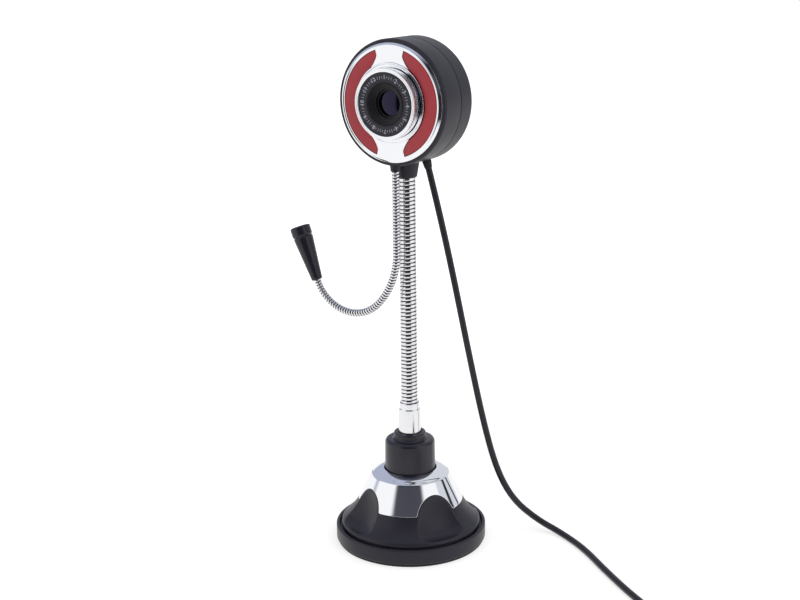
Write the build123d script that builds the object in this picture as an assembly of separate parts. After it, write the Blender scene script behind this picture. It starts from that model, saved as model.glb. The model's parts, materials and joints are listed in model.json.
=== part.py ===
"""Webcam on a gooseneck stand: a twist-grip suction base, a bendable metal neck, a round camera head
with a turning focus ring, a boom microphone on its own thin gooseneck, and a USB lead.

The frame: origin at the middle of the suction cup's underside, +Z up, the lens looks along -Y.
Lengths are millimetres, angles are degrees.
"""
from build123d import *
import math
import os

os.makedirs("parts", exist_ok=True)

# ---- driving dimensions -------------------------------------------------------------------------
CLEAR = 0.3                    # gap between pieces that move past each other
FIT = 0.15                     # radial gap of a shaft or a ball in its bore

# base
BASE_R = 40.0                  # outside of the base ring
BASE_TOP = 9.3                 # rim height
BASE_WALL = 1.7                # rim wall, outside to groove
GROOVE_W = 1.7                 # groove between the rim and the ledge
GROOVE_DEPTH = 2.0
LEDGE_W = 3.6
RING_FOOT_W = 4.0              # width of the ring's foot on the cup
DECK_TOP = 6.0
DECK_THICK = 2.0
SLEEVE_WALL = 1.1
SLEEVE_DROP = 6.5              # the sleeve ends this far below the crown's edge
CUP_LIP = 1.5                  # height of the rubber lip that shows under the ring
CUP_INSET = 1.4                # the lip stands in from the ring's wall
CUP_HOLLOW = 1.6               # how high the cup's underside rises in the middle
CUP_SEAL_W = 5.5               # sloping sealing face at the cup's edge
CUP_RELIEF = 0.7               # gap between the cup and the deck
BOSS_WALL = 4.2                # rubber round the stud
BOSS_RISE = 1.6                # the boss stands this far above the deck
STUD_R = 4.8
STUD_NECK_R = 3.3
STUD_LOW = 3.6
STUD_THICK = 1.8
STUD_SCREW_HEAD = (3.0, 1.8)   # radius and height
STUD_SCREW_SLOT = 1.0          # depth of the driver's slot
SOFT_EDGE = 0.5                # small chamfer on the base ring's top edge

# twist grip
CROWN_TOP = 37.6               # height of the crown's outer edge
CROWN_R = 20.4                 # radius there
CROWN_THICK = 1.2
CROWN_RISE = 2.5               # the top face rises by this much towards the post
CONE_FOOT_R = 27.75            # where the straight cone and the crown's tabs end
CONE_FOOT_Z = 22.6
FLARE_R = 36.0                 # where the hollow flare meets the round shoulder
FLARE_Z = 12.2
SKIRT_R = 37.1
SHOULDER_Z = 9.9
GRIP_WALL = 2.0
GRIP_LIP = 0.5                 # black edge between a scoop and the crown
SCOOPS = 4
SCOOP_FIRST = -27.5            # bearing of the first finger scoop, from the lens towards +X
SCOOP_TOP_Z = 31.0
SCOOP_FOOT_Z = 11.5
SCOOP_AXIS = 25.0              # how far the scoop's axis of turning lies outside the grip
SCOOP_FLANK_R = 26.0           # long curve of the scoop's outline, from its top
SCOOP_HEEL_R = 7.0             # tight curve at its foot
SCOOP_FOOT_IN = 0.4            # the scoop's foot lies this far outside the flare's end

# stem
POST_R = 13.4
POST_TOP = 56.5
POST_TAPER = 0.3               # the post is this much slimmer at its top
POST_WALL = 2.4
POST_ROUND = 1.6
BUSH_R = 8.5
BUSH_TOP = 60.1
LIFT = 2.5                     # how far a quarter turn of the grip raises the stem
PIN_R = 1.5
CAM_WALL = 2.5
CAM_MID_Z = 16.5
SPIGOT_WALL = 0.4              # wall of the ferrule's spigot round the neck
PLATE_THICK = 3.0
NUT_THICK = 3.0
FERRULE_WALL = 1.53
FERRULE_LIP = 0.65             # wall at the ferrule's top
FERRULE_STRAIGHT = 72.0
FERRULE_TOP = 76.4

# neck
NECK_R = 4.4
NECK_FIRST = 13.6              # from the ferrule to the first pivot
NECK_LAST = 13.3               # from the last pivot to the head's socket
NECK_BENDS = 4
NECK_BALL_WALL = 1.2           # the neck's wall round each ball
NECK_RANGE = 30.0
NECK_RIBS = 6                  # turned grooves along each link
NECK_RIB_DEPTH = 0.45

# head
HEAD_Z = 234.6
DRUM_R = 31.3
BEZEL_STEP = 0.7               # the bezel is this much smaller than the drum
BEZEL_W = 1.2                  # bezel ring round the face
BEZEL_FRONT = 13.6             # distances along the lens axis, forward is positive
SEAM = -1.2
REAR = -13.6
REAR_ROUND = 3.0
DRUM_WALL = 2.0
FACE_FRONT = 14.75
FACE_THICK = 2.0
FACE_RIM = 2.4                 # bright rim outside the inserts
FACE_COLLAR_W = 1.4            # raised collar round the focus ring
FACE_COLLAR = 0.9
INSERT_LAND = 0.5              # from the collar to the inserts
INSERT_TIP = 17.4              # angle of an insert's pointed end from the vertical
INSERT_WAIST = (7.5, 22.6)     # middle of the ogee at an insert's end, from the lens axis
INSERT_ROOT_X = 12.4           # where the ogee meets the insert's inner arc
INSERT_GAP = 0.12
SHELF_THICK = 1.6

# focus ring and lens
RING_R = 17.5
RING_FRONT = 19.65
RING_LIP = 2.0
RING_GAP = 0.4                 # radial gap between the focus ring and the face
DIAL_DROP = 0.35
DIAL_BORE = 10.0
DIAL_SEAT = 0.4                # thickness of the dial at the funnel's foot
FUNNEL_R = 6.9
FUNNEL_BACK = 16.4
BARREL_R = 7.5
BARREL_WALL = 1.0
BARREL_LIP = 0.3               # lip that holds the front glass
BARREL_THREAD_R = 6.4
FEED = 0.25                    # how far half a turn of the focus ring moves the barrel
HUB_WALL = 2.2
KEY_W = 2.4
KEY_SHORT = 0.7                # the keys end this far inside the hub

# electronics
BOARD_GAP = 5.7                # between the board and the drum's wall
BOARD_FRONT = -1.4
BOARD_THICK = 1.6
BOARD_NOTCH = (12.0, 5.0)
SENSOR = (9.0, 9.0, 1.0)
SENSOR_GAP = 0.6               # round the sensor in its holder
FILTER = (8.2, 8.2, 0.5)
CHIP = (9.0, 9.0, 1.4)
CHIP_AT = (-3.0, 4.0)
CRYSTAL = (4.0, 10.0, 3.0)
CRYSTAL_AT = (8.0, 6.0)
LEAD_SOCKET = (11.0, 6.0, 4.5)
LEAD_SOCKET_AT = (6.0, -10.0)
LEAD_SOCKET_MOUTH = (9.0, 5.0, 2.4)
HOLDER = 20.0
HOLDER_BASE = 3.4              # thickness of its square foot
HOLDER_WALL = 2.0
BOARD_SCREWS = 3
BOARD_SCREW = 1.8              # thread diameter
BOARD_SCREW_EDGE = 2.8         # from the board's edge to its screws
BOARD_SCREW_FIRST = 60.0       # bearing of the first, from +X towards the top
PILLAR_WALL = 1.3
COVER_SCREWS = 3
COVER_SCREW = 2.2
COVER_SCREW_EDGE = 4.7         # from the drum's outside to the cover's screws
COVER_SCREW_FIRST = 90.0
SCREW_SINK = 2.6
SCREW_HEAD = 1.5               # height of a cover screw's head

# neck socket, cable exit and microphone boss under the head
SOCKET_LEN = 7.0               # the neck's socket below the drum
SOCKET_LIP = 0.2               # its wall at the mouth
SOCKET_FLARE = 1.6             # how much wider it is at the drum
SOCKET_DEPTH = 8.0             # how far the neck goes in
SPIGOT_TOP_WALL = 0.8          # wall of the socket's spigot inside the drum
CABLE_R = 1.7
CABLE_EXIT = (6.0, 9.5, 0.1)   # where the lead leaves: across, back, and below the drum's lowest line
GROMMET_R = 2.7
GROMMET_LIP = 1.5
GROMMET_LEN = 4.8
GROMMET_WAIST = 0.5            # the sleeve in the drum's wall is this much slimmer than the lip
MIC_Y = -10.5
MIC_BOSS_WALL = 0.35
MIC_BOSS_LEN = 2.8
CLAMP_WALL = 0.7

# microphone boom: straight drop, wide bend, then a tighter bend up to the microphone
MIC_HOSE_R = 2.05
MIC_BALL_R = 1.45
MIC_STRAIGHT_END = 158.8
MIC_BEND_R = (40.0, 23.5)
MIC_BEND_TO = (45.0, 159.0)    # travel angle from straight down at the end of each bend
MIC_PIVOT_Z = (185.0, 164.0)
MIC_PIVOT_ANGLE = (45.0, 149.0)
MIC_LENGTH = 29.8
MIC_FOOT_R = 2.85
MIC_BODY_R = 5.15
MIC_CAP_R = 5.4
MIC_CAP_LEN = 7.6
MIC_CAP_ROUND = 1.4
MIC_CAP_FLOOR = 1.6            # thickness of the cap's end
MIC_CAP_WALL = 1.4
MIC_STEP = 0.25                # the cap's joint is this much smaller than the cap
MIC_GRIP = 5.0                 # how far the boom goes into the body
MIC_SLOTS = (-1, 0, 1)
MIC_SLOT = (5.0, 0.8)
MIC_SLOT_PITCH = 1.9
CAPSULE_R = 3.6
CAPSULE_LEN = 6.0
CAPSULE_SEAT = 2.5             # how deep the capsule sits in the body

# lead
CABLE_LEAD = 1500.0
COIL_MID_R = 20.2
COIL_ACROSS = 3
PLUG_BODY = (16.0, 8.0, 20.0)
PLUG_CORNER = 1.2
PLUG_SHELL = (12.0, 4.5, 18.7)
PLUG_WALL = 0.3
PLUG_WINDOW = (2.4, 2.2)
PLUG_TONGUE = 1.9              # thickness of the contact tongue
PLUG_TONGUE_SHORT = 1.2        # it ends this far inside the shell
RELIEF = 9.0                   # length of the plug's strain relief
RELIEF_WALL = (0.5, 1.5)       # its wall at the lead and at the plug


# ---- helpers ------------------------------------------------------------------------------------
def turned(*outline):
    """Solid of revolution about Z from a closed outline of (radius, height) points."""
    return revolve(Plane.XZ * make_face(Polyline(*outline, close=True)), Axis.Z)


def turned_edges(*edges):
    """Solid of revolution about Z from edges that close on themselves."""
    return revolve(Plane.XZ * make_face(Wire(edges)), Axis.Z)


def rod(radius, low, high, x=0.0, y=0.0):
    """Upright cylinder between two heights."""
    return Pos(x, y, (low + high) / 2) * Cylinder(radius, high - low)


def around(count, solid, first=0.0):
    """Copies of a solid turned evenly about Z."""
    return [Rot(0, 0, first + 360.0 * k / count) * solid for k in range(count)]


def on_head(solid):
    """Put a solid drawn about the lens axis (forward is +Z, up is +Y) in its place on the head."""
    return Plane(origin=(0, 0, HEAD_Z), x_dir=(1, 0, 0), z_dir=(0, -1, 0)).location * solid


def save(name, shape):
    """Write one node's STEP file."""
    export_step(shape, f"parts/{name}.step")


# ---- base ---------------------------------------------------------------------------------------
RIM_IN_R = BASE_R - BASE_WALL
LEDGE_OUT_R = RIM_IN_R - GROOVE_W
LEDGE_IN_R = LEDGE_OUT_R - LEDGE_W
SLEEVE_IN_R = POST_R + FIT
SLEEVE_OUT_R = SLEEVE_IN_R + SLEEVE_WALL
SLEEVE_TOP = CROWN_TOP - SLEEVE_DROP
CAM_IN_R = SLEEVE_OUT_R + CLEAR
CAM_R = CAM_IN_R + CAM_WALL / 2
CAM_OUT_R = CAM_IN_R + CAM_WALL
CAM_RISE = LIFT / math.sqrt(2)         # half the cam's full rise, used over a quarter turn
PIN_Z = CAM_MID_Z - LIFT / 2 + CLEAR + PIN_R
PIN_REACH = CAM_OUT_R - 0.3
BOSS_R = STUD_R + BOSS_WALL
BOSS_TOP = DECK_TOP + BOSS_RISE
POST_FOOT = BOSS_TOP + 1.0
STUD_HIGH = STUD_LOW + STUD_THICK


def base_ring():
    """Ring that covers the cup's edge, with the deck and the sleeve that guides the stem."""
    edge = SOFT_EDGE
    deck = DECK_TOP - DECK_THICK
    body = turned(
        (BASE_R, CUP_LIP),
        (BASE_R, BASE_TOP - edge),
        (BASE_R - edge, BASE_TOP),
        (RIM_IN_R, BASE_TOP),
        (RIM_IN_R, BASE_TOP - GROOVE_DEPTH),
        (LEDGE_OUT_R, BASE_TOP - GROOVE_DEPTH),
        (LEDGE_OUT_R, BASE_TOP),
        (LEDGE_IN_R, BASE_TOP),
        (LEDGE_IN_R, DECK_TOP),
        (SLEEVE_OUT_R, DECK_TOP),
        (SLEEVE_OUT_R, SLEEVE_TOP),
        (SLEEVE_IN_R, SLEEVE_TOP),
        (SLEEVE_IN_R, deck),
        (LEDGE_IN_R, deck),
        (BASE_R - RING_FOOT_W, CUP_LIP),
    )
    low = PIN_Z - PIN_R - CLEAR
    high = PIN_Z + PIN_R + LIFT + CLEAR
    slot = Pos(0, 0, (low + high) / 2) * Box(3 * CAM_OUT_R, 2 * (PIN_R + CLEAR), high - low)
    return body - slot


def suction_cup():
    """Rubber disc with a flat sealing edge, a hollow underside and a boss that holds the stud."""
    out = BASE_R - CUP_INSET
    seal = out - CUP_SEAL_W
    under_deck = DECK_TOP - DECK_THICK - CUP_RELIEF
    return turned(
        (0, CUP_HOLLOW),
        (BOSS_R, CUP_HOLLOW),
        (seal, 0),
        (out, 0),
        (out, CUP_LIP),
        (BASE_R - RING_FOOT_W, CUP_LIP),
        (LEDGE_IN_R, under_deck),
        (BOSS_R, under_deck),
        (BOSS_R, BOSS_TOP),
        (STUD_NECK_R + CLEAR, BOSS_TOP),
        (STUD_NECK_R + CLEAR, STUD_HIGH + CLEAR),
        (STUD_R + CLEAR, STUD_HIGH + CLEAR),
        (STUD_R + CLEAR, STUD_LOW - CLEAR),
        (0, STUD_LOW - CLEAR),
    )


# ---- twist grip ---------------------------------------------------------------------------------
CONE_SLOPE = (CONE_FOOT_R - CROWN_R) / (CROWN_TOP - CONE_FOOT_Z)
TOP_OPENING = CAM_OUT_R + 0.5


def cone_r(height, inset=0.0):
    """Radius of the grip's cone at a height, moved in by an inset measured square to its face."""
    return CROWN_R + CONE_SLOPE * (CROWN_TOP - height) - inset * math.hypot(1, CONE_SLOPE)


def scoop_cutter(grow=0.0):
    """Round body whose side cuts one finger scoop: a long curve from the top, a tight one at the foot."""
    top = (cone_r(SCOOP_TOP_Z), SCOOP_TOP_Z)
    foot = (FLARE_R + SCOOP_FOOT_IN, SCOOP_FOOT_Z)
    span = math.dist(top, foot)
    lean = math.atan2(foot[0] - top[0], top[1] - foot[1])
    widest = span - SCOOP_HEEL_R
    flank_mid = SCOOP_AXIS - math.sqrt(SCOOP_FLANK_R ** 2 - widest ** 2)
    heel_mid = flank_mid + SCOOP_FLANK_R - SCOOP_HEEL_R
    flank = SCOOP_FLANK_R + grow
    heel = SCOOP_HEEL_R + grow
    start = (flank_mid + math.sqrt(flank ** 2 - (widest + 1 + grow) ** 2), 1 + grow)
    girth = (heel_mid + heel, -widest)
    bow = math.radians(20)
    slant = math.radians(45)
    on_flank = (flank_mid + flank * math.cos(bow), -widest + flank * math.sin(bow))
    on_heel = (heel_mid + heel * math.cos(slant), -widest - heel * math.sin(slant))
    end = (heel_mid, -widest - heel)
    cutter = turned_edges(
        Line((0, start[1]), start),
        ThreePointArc(start, on_flank, girth),
        ThreePointArc(girth, on_heel, end),
        Line(end, (0, end[1])),
        Line((0, end[1]), (0, start[1])),
    )
    out = top[0] + SCOOP_AXIS * math.cos(lean)
    up = top[1] + SCOOP_AXIS * math.sin(lean)
    return Pos(out, 0, up) * Rot(0, -math.degrees(lean), 0) * cutter


def scoops(grow=0.0):
    """The finger scoops round the grip."""
    return around(SCOOPS, scoop_cutter(grow), SCOOP_FIRST - 90.0)


GRIP_FOOT = BASE_TOP + CLEAR
GRIP_TOP = CROWN_TOP - CROWN_THICK
HOLLOW = (
    (SKIRT_R - GRIP_WALL, SHOULDER_Z + GRIP_WALL),
    (FLARE_R - GRIP_WALL, FLARE_Z),
    (cone_r(CONE_FOOT_Z, GRIP_WALL + CROWN_THICK), CONE_FOOT_Z - GRIP_WALL / 2),
    (TOP_OPENING, GRIP_TOP - GRIP_WALL),
)                                      # inner line of the bell, from the skirt up


def crown_zone():
    """The crown before the scoops are cut: a bright cap with a top face that rises to the post."""
    rim = 0.4
    bore = POST_R + 2 * CLEAR
    return turned(
        (CONE_FOOT_R, CONE_FOOT_Z),
        (cone_r(CROWN_TOP - rim), CROWN_TOP - rim),
        (CROWN_R - rim, CROWN_TOP),
        (bore, CROWN_TOP + CROWN_RISE),
        (bore, CROWN_TOP + CROWN_RISE - CROWN_THICK),
        (TOP_OPENING, GRIP_TOP),
        (cone_r(GRIP_TOP, CROWN_THICK), GRIP_TOP),
        (cone_r(CONE_FOOT_Z, CROWN_THICK), CONE_FOOT_Z),
    )


def cam():
    """Ring with two inclined tops that the stem's pin rides on."""
    top = CAM_MID_Z + CAM_RISE * CAM_OUT_R / CAM_R + 1.0
    ring = rod(CAM_OUT_R, GRIP_FOOT, top) - rod(CAM_IN_R, GRIP_FOOT - 1, top + 1)
    slope = math.degrees(math.atan(CAM_RISE / CAM_R))
    size = 4 * CAM_OUT_R
    over = Rot(-slope, 0, 0) * Box(size, size, size, align=(Align.MIN, Align.CENTER, Align.MIN))
    for half in around(2, over, -45.0):
        ring = ring - Pos(0, 0, CAM_MID_Z) * half
    return ring


def twist_grip():
    """Bell-shaped grip with finger scoops, and inside it the cam that lifts the stem."""
    flare = TangentArc(
        (CONE_FOOT_R, CONE_FOOT_Z), (FLARE_R, FLARE_Z), tangent=(CONE_SLOPE, -1))
    shoulder = TangentArc((SKIRT_R, SHOULDER_Z), (FLARE_R, FLARE_Z), tangent=(0, 1))
    inner = Polyline(
        (SKIRT_R, SHOULDER_Z),
        (SKIRT_R, GRIP_FOOT),
        (CAM_IN_R, GRIP_FOOT),
        (CAM_IN_R, GRIP_FOOT + GRIP_WALL),
        *HOLLOW,
        (TOP_OPENING, GRIP_TOP),
        (cone_r(GRIP_TOP, CROWN_THICK), GRIP_TOP),
        (cone_r(CONE_FOOT_Z, CROWN_THICK), CONE_FOOT_Z),
        (CONE_FOOT_R, CONE_FOOT_Z),
    )
    bell = turned_edges(flare, shoulder, *inner.edges())
    hollow = turned((TOP_OPENING, GRIP_FOOT + GRIP_WALL), *HOLLOW)
    for backing in scoops(GRIP_WALL):
        bell = bell + (hollow & backing)
    for lip in scoops(GRIP_LIP):
        bell = bell + (crown_zone() & lip)
    for scoop in scoops():
        bell = bell - scoop
    return bell + cam()


def crown_trim():
    """Bright cap over the top of the grip, with tabs between the scoops."""
    cap = crown_zone()
    for scoop in scoops(GRIP_LIP):
        cap = cap - scoop
    return cap


# ---- stem ---------------------------------------------------------------------------------------
POST_TOP_R = POST_R - POST_TAPER
WEB_TOP = POST_FOOT + 3.5
SPIGOT_R = NECK_R + SPIGOT_WALL
COUNTERBORE_R = SPIGOT_R + 1.5
NUT_ACROSS = 2 * SPIGOT_R + 2.4
FERRULE_R = NECK_R + FERRULE_WALL
FERRULE_TOP_R = NECK_R + FERRULE_LIP
FERRULE_FOOT = POST_TOP - PLATE_THICK - NUT_THICK - 1.0
HOSE_SOCKET = BUSH_TOP + 2.0


def stem_post():
    """Hollow post that slides in the base sleeve, with a web for the stud and a hole for the pin."""
    inner = POST_R - POST_WALL
    plate = POST_TOP - PLATE_THICK
    side = Line((POST_R, POST_FOOT), (POST_R, CROWN_TOP))
    taper = Line((POST_R, CROWN_TOP), (POST_TOP_R, POST_TOP - POST_ROUND))
    shoulder = TangentArc(
        (POST_TOP_R, POST_TOP - POST_ROUND), (POST_TOP_R - POST_ROUND, POST_TOP), tangent=(0, 1))
    rest = Polyline(
        (POST_TOP_R - POST_ROUND, POST_TOP),
        (COUNTERBORE_R, POST_TOP),
        (COUNTERBORE_R, plate),
        (inner, plate),
        (inner, WEB_TOP),
        (PIN_R, WEB_TOP),
        (PIN_R, POST_FOOT),
        (POST_R, POST_FOOT),
    )
    post = turned_edges(side, taper, shoulder, *rest.edges())
    return post - pin(2 * POST_R)


def pin(reach):
    """Cross bar along X at the pin's height."""
    return Pos(0, 0, PIN_Z) * Rot(0, 90, 0) * Cylinder(PIN_R, 2 * reach)


def stem_bush():
    """Stepped bush on top of the post, with its spigot through the top plate."""
    edge = 0.8
    return turned(
        (SPIGOT_R, POST_TOP - PLATE_THICK),
        (COUNTERBORE_R, POST_TOP - PLATE_THICK),
        (COUNTERBORE_R, POST_TOP),
        (BUSH_R, POST_TOP),
        (BUSH_R, BUSH_TOP - edge),
        (BUSH_R - edge, BUSH_TOP),
        (SPIGOT_R, BUSH_TOP),
    )


def cup_stud():
    """Headed stud moulded into the cup's boss and screwed to the post."""
    return turned(
        (0, STUD_LOW),
        (STUD_R, STUD_LOW),
        (STUD_R, STUD_HIGH),
        (STUD_NECK_R, STUD_HIGH),
        (STUD_NECK_R, POST_FOOT),
        (PIN_R, POST_FOOT),
        (PIN_R, STUD_LOW + 1.0),
        (0, STUD_LOW + 1.0),
    )


def stud_screw():
    """Screw from inside the post down into the stud."""
    radius, height = STUD_SCREW_HEAD
    slot = Pos(0, 0, WEB_TOP + height) * Box(0.7, 3 * radius, 2 * STUD_SCREW_SLOT)
    head = rod(radius, WEB_TOP, WEB_TOP + height) - slot
    return head + rod(PIN_R, STUD_LOW + 1.2, WEB_TOP)


def hexagon(across, low, high, bore):
    """Upright hexagon nut."""
    body = extrude(Pos(0, 0, low) * RegularPolygon(across / 2, 6, major_radius=False), high - low)
    return body - rod(bore, low - 1, high + 1)


def lower_ferrule():
    """Bright ferrule that grips the foot of the neck, with a spigot down through the bush."""
    return turned(
        (0, FERRULE_FOOT),
        (SPIGOT_R, FERRULE_FOOT),
        (SPIGOT_R, BUSH_TOP),
        (FERRULE_R, BUSH_TOP),
        (FERRULE_R, FERRULE_STRAIGHT),
        (FERRULE_TOP_R, FERRULE_TOP),
        (NECK_R, FERRULE_TOP),
        (NECK_R, HOSE_SOCKET),
        (0, HOSE_SOCKET),
    )


# ---- neck ---------------------------------------------------------------------------------------
NECK_GROOVE = NECK_R * math.sin(math.radians(NECK_RANGE)) + CLEAR
NECK_BALL_R = NECK_R - NECK_BALL_WALL
SOCKET_Z = HEAD_Z - DRUM_R - SOCKET_LEN
NECK_TOP = SOCKET_Z + SOCKET_DEPTH
NECK_SPACING = (SOCKET_Z - NECK_LAST - FERRULE_TOP - NECK_FIRST) / (NECK_BENDS - 1)
NECK_PIVOTS = [FERRULE_TOP + NECK_FIRST + k * NECK_SPACING for k in range(NECK_BENDS)]


def neck_link(low, high, socket, ball, rib_from, rib_to):
    """One stiff length of the neck: a socket at its foot, a ball at its head, grooves between."""
    top = high - NECK_GROOVE if ball else high
    link = rod(NECK_R, low, top)
    step = (rib_to - rib_from) / NECK_RIBS
    depth = NECK_RIB_DEPTH
    for k in range(NECK_RIBS):
        z = rib_from + (k + 0.5) * step
        edge = NECK_R + depth
        link = link - turned((NECK_R - depth, z), (edge, z - 2 * depth), (edge, z + 2 * depth))
    if ball:
        link = link + Pos(0, 0, high) * Sphere(NECK_BALL_R)
    if socket:
        link = link - Pos(0, 0, low) * Sphere(NECK_BALL_R + FIT)
    return link


def neck_hoses():
    """The lengths of the neck from the ferrule to the head, in order."""
    links = []
    stops = (HOSE_SOCKET, *NECK_PIVOTS, NECK_TOP)
    for k in range(NECK_BENDS + 1):
        low = stops[k]
        high = stops[k + 1]
        last = k == NECK_BENDS
        rib_from = FERRULE_TOP if k == 0 else low
        rib_to = SOCKET_Z if last else high - NECK_GROOVE
        links.append(neck_link(low, high, k > 0, not last, rib_from, rib_to))
    return links


# ---- head: all drawn about the lens axis, forward is +Z -----------------------------------------
BEZEL_R = DRUM_R - BEZEL_STEP
FACE_R = BEZEL_R - BEZEL_W
FACE_BORE = RING_R + RING_GAP
FACE_COLLAR_R = FACE_BORE + FACE_COLLAR_W
INSERT_OUT_R = FACE_R - FACE_RIM
INSERT_IN_R = FACE_COLLAR_R + INSERT_LAND
DIAL_R = RING_R - RING_LIP
HUB_BORE = BARREL_R + CLEAR
HUB_R = HUB_BORE + HUB_WALL
KEY_REACH = HUB_R - KEY_SHORT
LENS_R = BARREL_R - BARREL_WALL
BARREL_FRONT = FUNNEL_BACK - DIAL_SEAT - FEED - CLEAR
PILLAR_R = BOARD_SCREW / 2 + PILLAR_WALL
COVER_PILLAR_R = COVER_SCREW / 2 + PILLAR_WALL
BOARD_R = DRUM_R - DRUM_WALL - BOARD_GAP
BOARD_SCREW_R = BOARD_R - BOARD_SCREW_EDGE
COVER_SCREW_R = DRUM_R - COVER_SCREW_EDGE
HOLDER_TUBE_R = BARREL_THREAD_R + HOLDER_WALL
SHELF_FRONT = FACE_FRONT - FACE_THICK
SHELF_BACK = SHELF_FRONT - SHELF_THICK
SHELF_IN_R = RING_R + CLEAR + 2.2
FLANGE_R = SHELF_IN_R - CLEAR


def drum_cut():
    """The drum's outside, for trimming what meets it from below."""
    return on_head(Cylinder(DRUM_R, 60))


def front_housing():
    """Front half of the drum with its bezel, the shelf behind the face, and the screw pillars."""
    shell = turned(
        (FACE_R + INSERT_GAP, BEZEL_FRONT),
        (BEZEL_R, BEZEL_FRONT),
        (DRUM_R, BEZEL_FRONT - 1.3),
        (DRUM_R, SEAM + 0.3),
        (DRUM_R - 0.3, SEAM),
        (DRUM_R - DRUM_WALL, SEAM),
        (DRUM_R - DRUM_WALL, SHELF_BACK),
        (SHELF_IN_R, SHELF_BACK),
        (SHELF_IN_R, SHELF_FRONT),
        (FACE_R + INSERT_GAP, SHELF_FRONT),
    )
    reach = BOARD_FRONT
    post = rod(PILLAR_R, reach, SHELF_BACK) - rod(BOARD_SCREW / 2, reach - 1, reach + 5)
    for pillar in around(BOARD_SCREWS, Pos(BOARD_SCREW_R, 0, 0) * post, BOARD_SCREW_FIRST):
        shell = shell + pillar
    post = rod(COVER_PILLAR_R, SEAM, SHELF_BACK) - rod(COVER_SCREW / 2, SEAM - 1, SEAM + 6)
    for pillar in around(COVER_SCREWS, Pos(COVER_SCREW_R, 0, 0) * post, COVER_SCREW_FIRST):
        shell = shell + pillar
    return on_head(shell)


def rear_cover():
    """Closed back of the drum with a rounded edge and three sunk screw pillars."""
    side = Line((DRUM_R, SEAM - 0.3), (DRUM_R, REAR + REAR_ROUND))
    corner = TangentArc(
        (DRUM_R, REAR + REAR_ROUND), (DRUM_R - REAR_ROUND, REAR), tangent=(0, -1))
    inner = Polyline(
        (DRUM_R - REAR_ROUND, REAR),
        (0, REAR),
        (0, REAR + DRUM_WALL),
        (DRUM_R - DRUM_WALL, REAR + DRUM_WALL),
        (DRUM_R - DRUM_WALL, SEAM),
        (DRUM_R - 0.3, SEAM),
        (DRUM_R, SEAM - 0.3),
    )
    shell = turned_edges(side, corner, *inner.edges())
    post = rod(COVER_PILLAR_R, REAR + DRUM_WALL, SEAM)
    hole = rod(COVER_SCREW / 2, REAR - 1, SEAM + 1) + rod(COVER_SCREW, REAR - 1, REAR + SCREW_SINK)
    for pillar in around(COVER_SCREWS, Pos(COVER_SCREW_R, 0, 0) * post, COVER_SCREW_FIRST):
        shell = shell + pillar
    for sunk in around(COVER_SCREWS, Pos(COVER_SCREW_R, 0, 0) * hole, COVER_SCREW_FIRST):
        shell = shell - sunk
    return on_head(shell)


def insert_outline(side, shrink=0.0):
    """Crescent window in the face: two arcs about the lens joined by an ogee at each end."""
    out = INSERT_OUT_R - shrink
    inn = INSERT_IN_R + shrink
    tip = math.radians(90 - INSERT_TIP)
    tip_x = out * math.cos(tip) + shrink
    tip_y = math.sqrt(out ** 2 - tip_x ** 2)
    root_x = INSERT_ROOT_X + shrink
    root_y = math.sqrt(inn ** 2 - root_x ** 2)
    waist = (INSERT_WAIST[0] + shrink, INSERT_WAIST[1])
    along = Vector(root_y, -root_x).normalized()
    top_end = Spline((tip_x, tip_y), waist, (root_x, root_y), tangents=[(-0.12, -1), along])
    low_end = Spline(
        (tip_x, -tip_y), (waist[0], -waist[1]), (root_x, -root_y),
        tangents=[(-0.12, 1), Vector(root_y, root_x)])
    outer = ThreePointArc((tip_x, tip_y), (out, 0), (tip_x, -tip_y))
    inner = ThreePointArc((root_x, root_y), (inn, 0), (root_x, -root_y))
    face = make_face(Wire([top_end, inner, low_end, outer]))
    return face if side > 0 else mirror(face, Plane.YZ)


def faceplate():
    """Bright round face with a raised collar, a rounded rim and a window for each insert."""
    rim = Line((FACE_R, SHELF_FRONT), (FACE_R, FACE_FRONT - 0.9))
    bead = ThreePointArc(
        (FACE_R, FACE_FRONT - 0.9), (FACE_R - 0.55, FACE_FRONT - 0.15), (INSERT_OUT_R + 0.6, FACE_FRONT))
    rest = Polyline(
        (INSERT_OUT_R + 0.6, FACE_FRONT),
        (FACE_COLLAR_R, FACE_FRONT),
        (FACE_COLLAR_R - 0.5, FACE_FRONT + FACE_COLLAR),
        (FACE_BORE, FACE_FRONT + FACE_COLLAR),
        (FACE_BORE, SHELF_FRONT),
        (FACE_R, SHELF_FRONT),
    )
    plate = turned_edges(rim, bead, *rest.edges())
    for side in (1, -1):
        plate = plate - Pos(0, 0, SHELF_FRONT - 1) * extrude(insert_outline(side), FACE_THICK + 4)
    return on_head(plate)


def red_insert(side):
    """Coloured crescent set in the face, standing a little proud."""
    outline = insert_outline(side, INSERT_GAP)
    solid = Pos(0, 0, SHELF_FRONT) * extrude(outline, FACE_THICK - 0.15)
    return on_head(solid)


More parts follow.
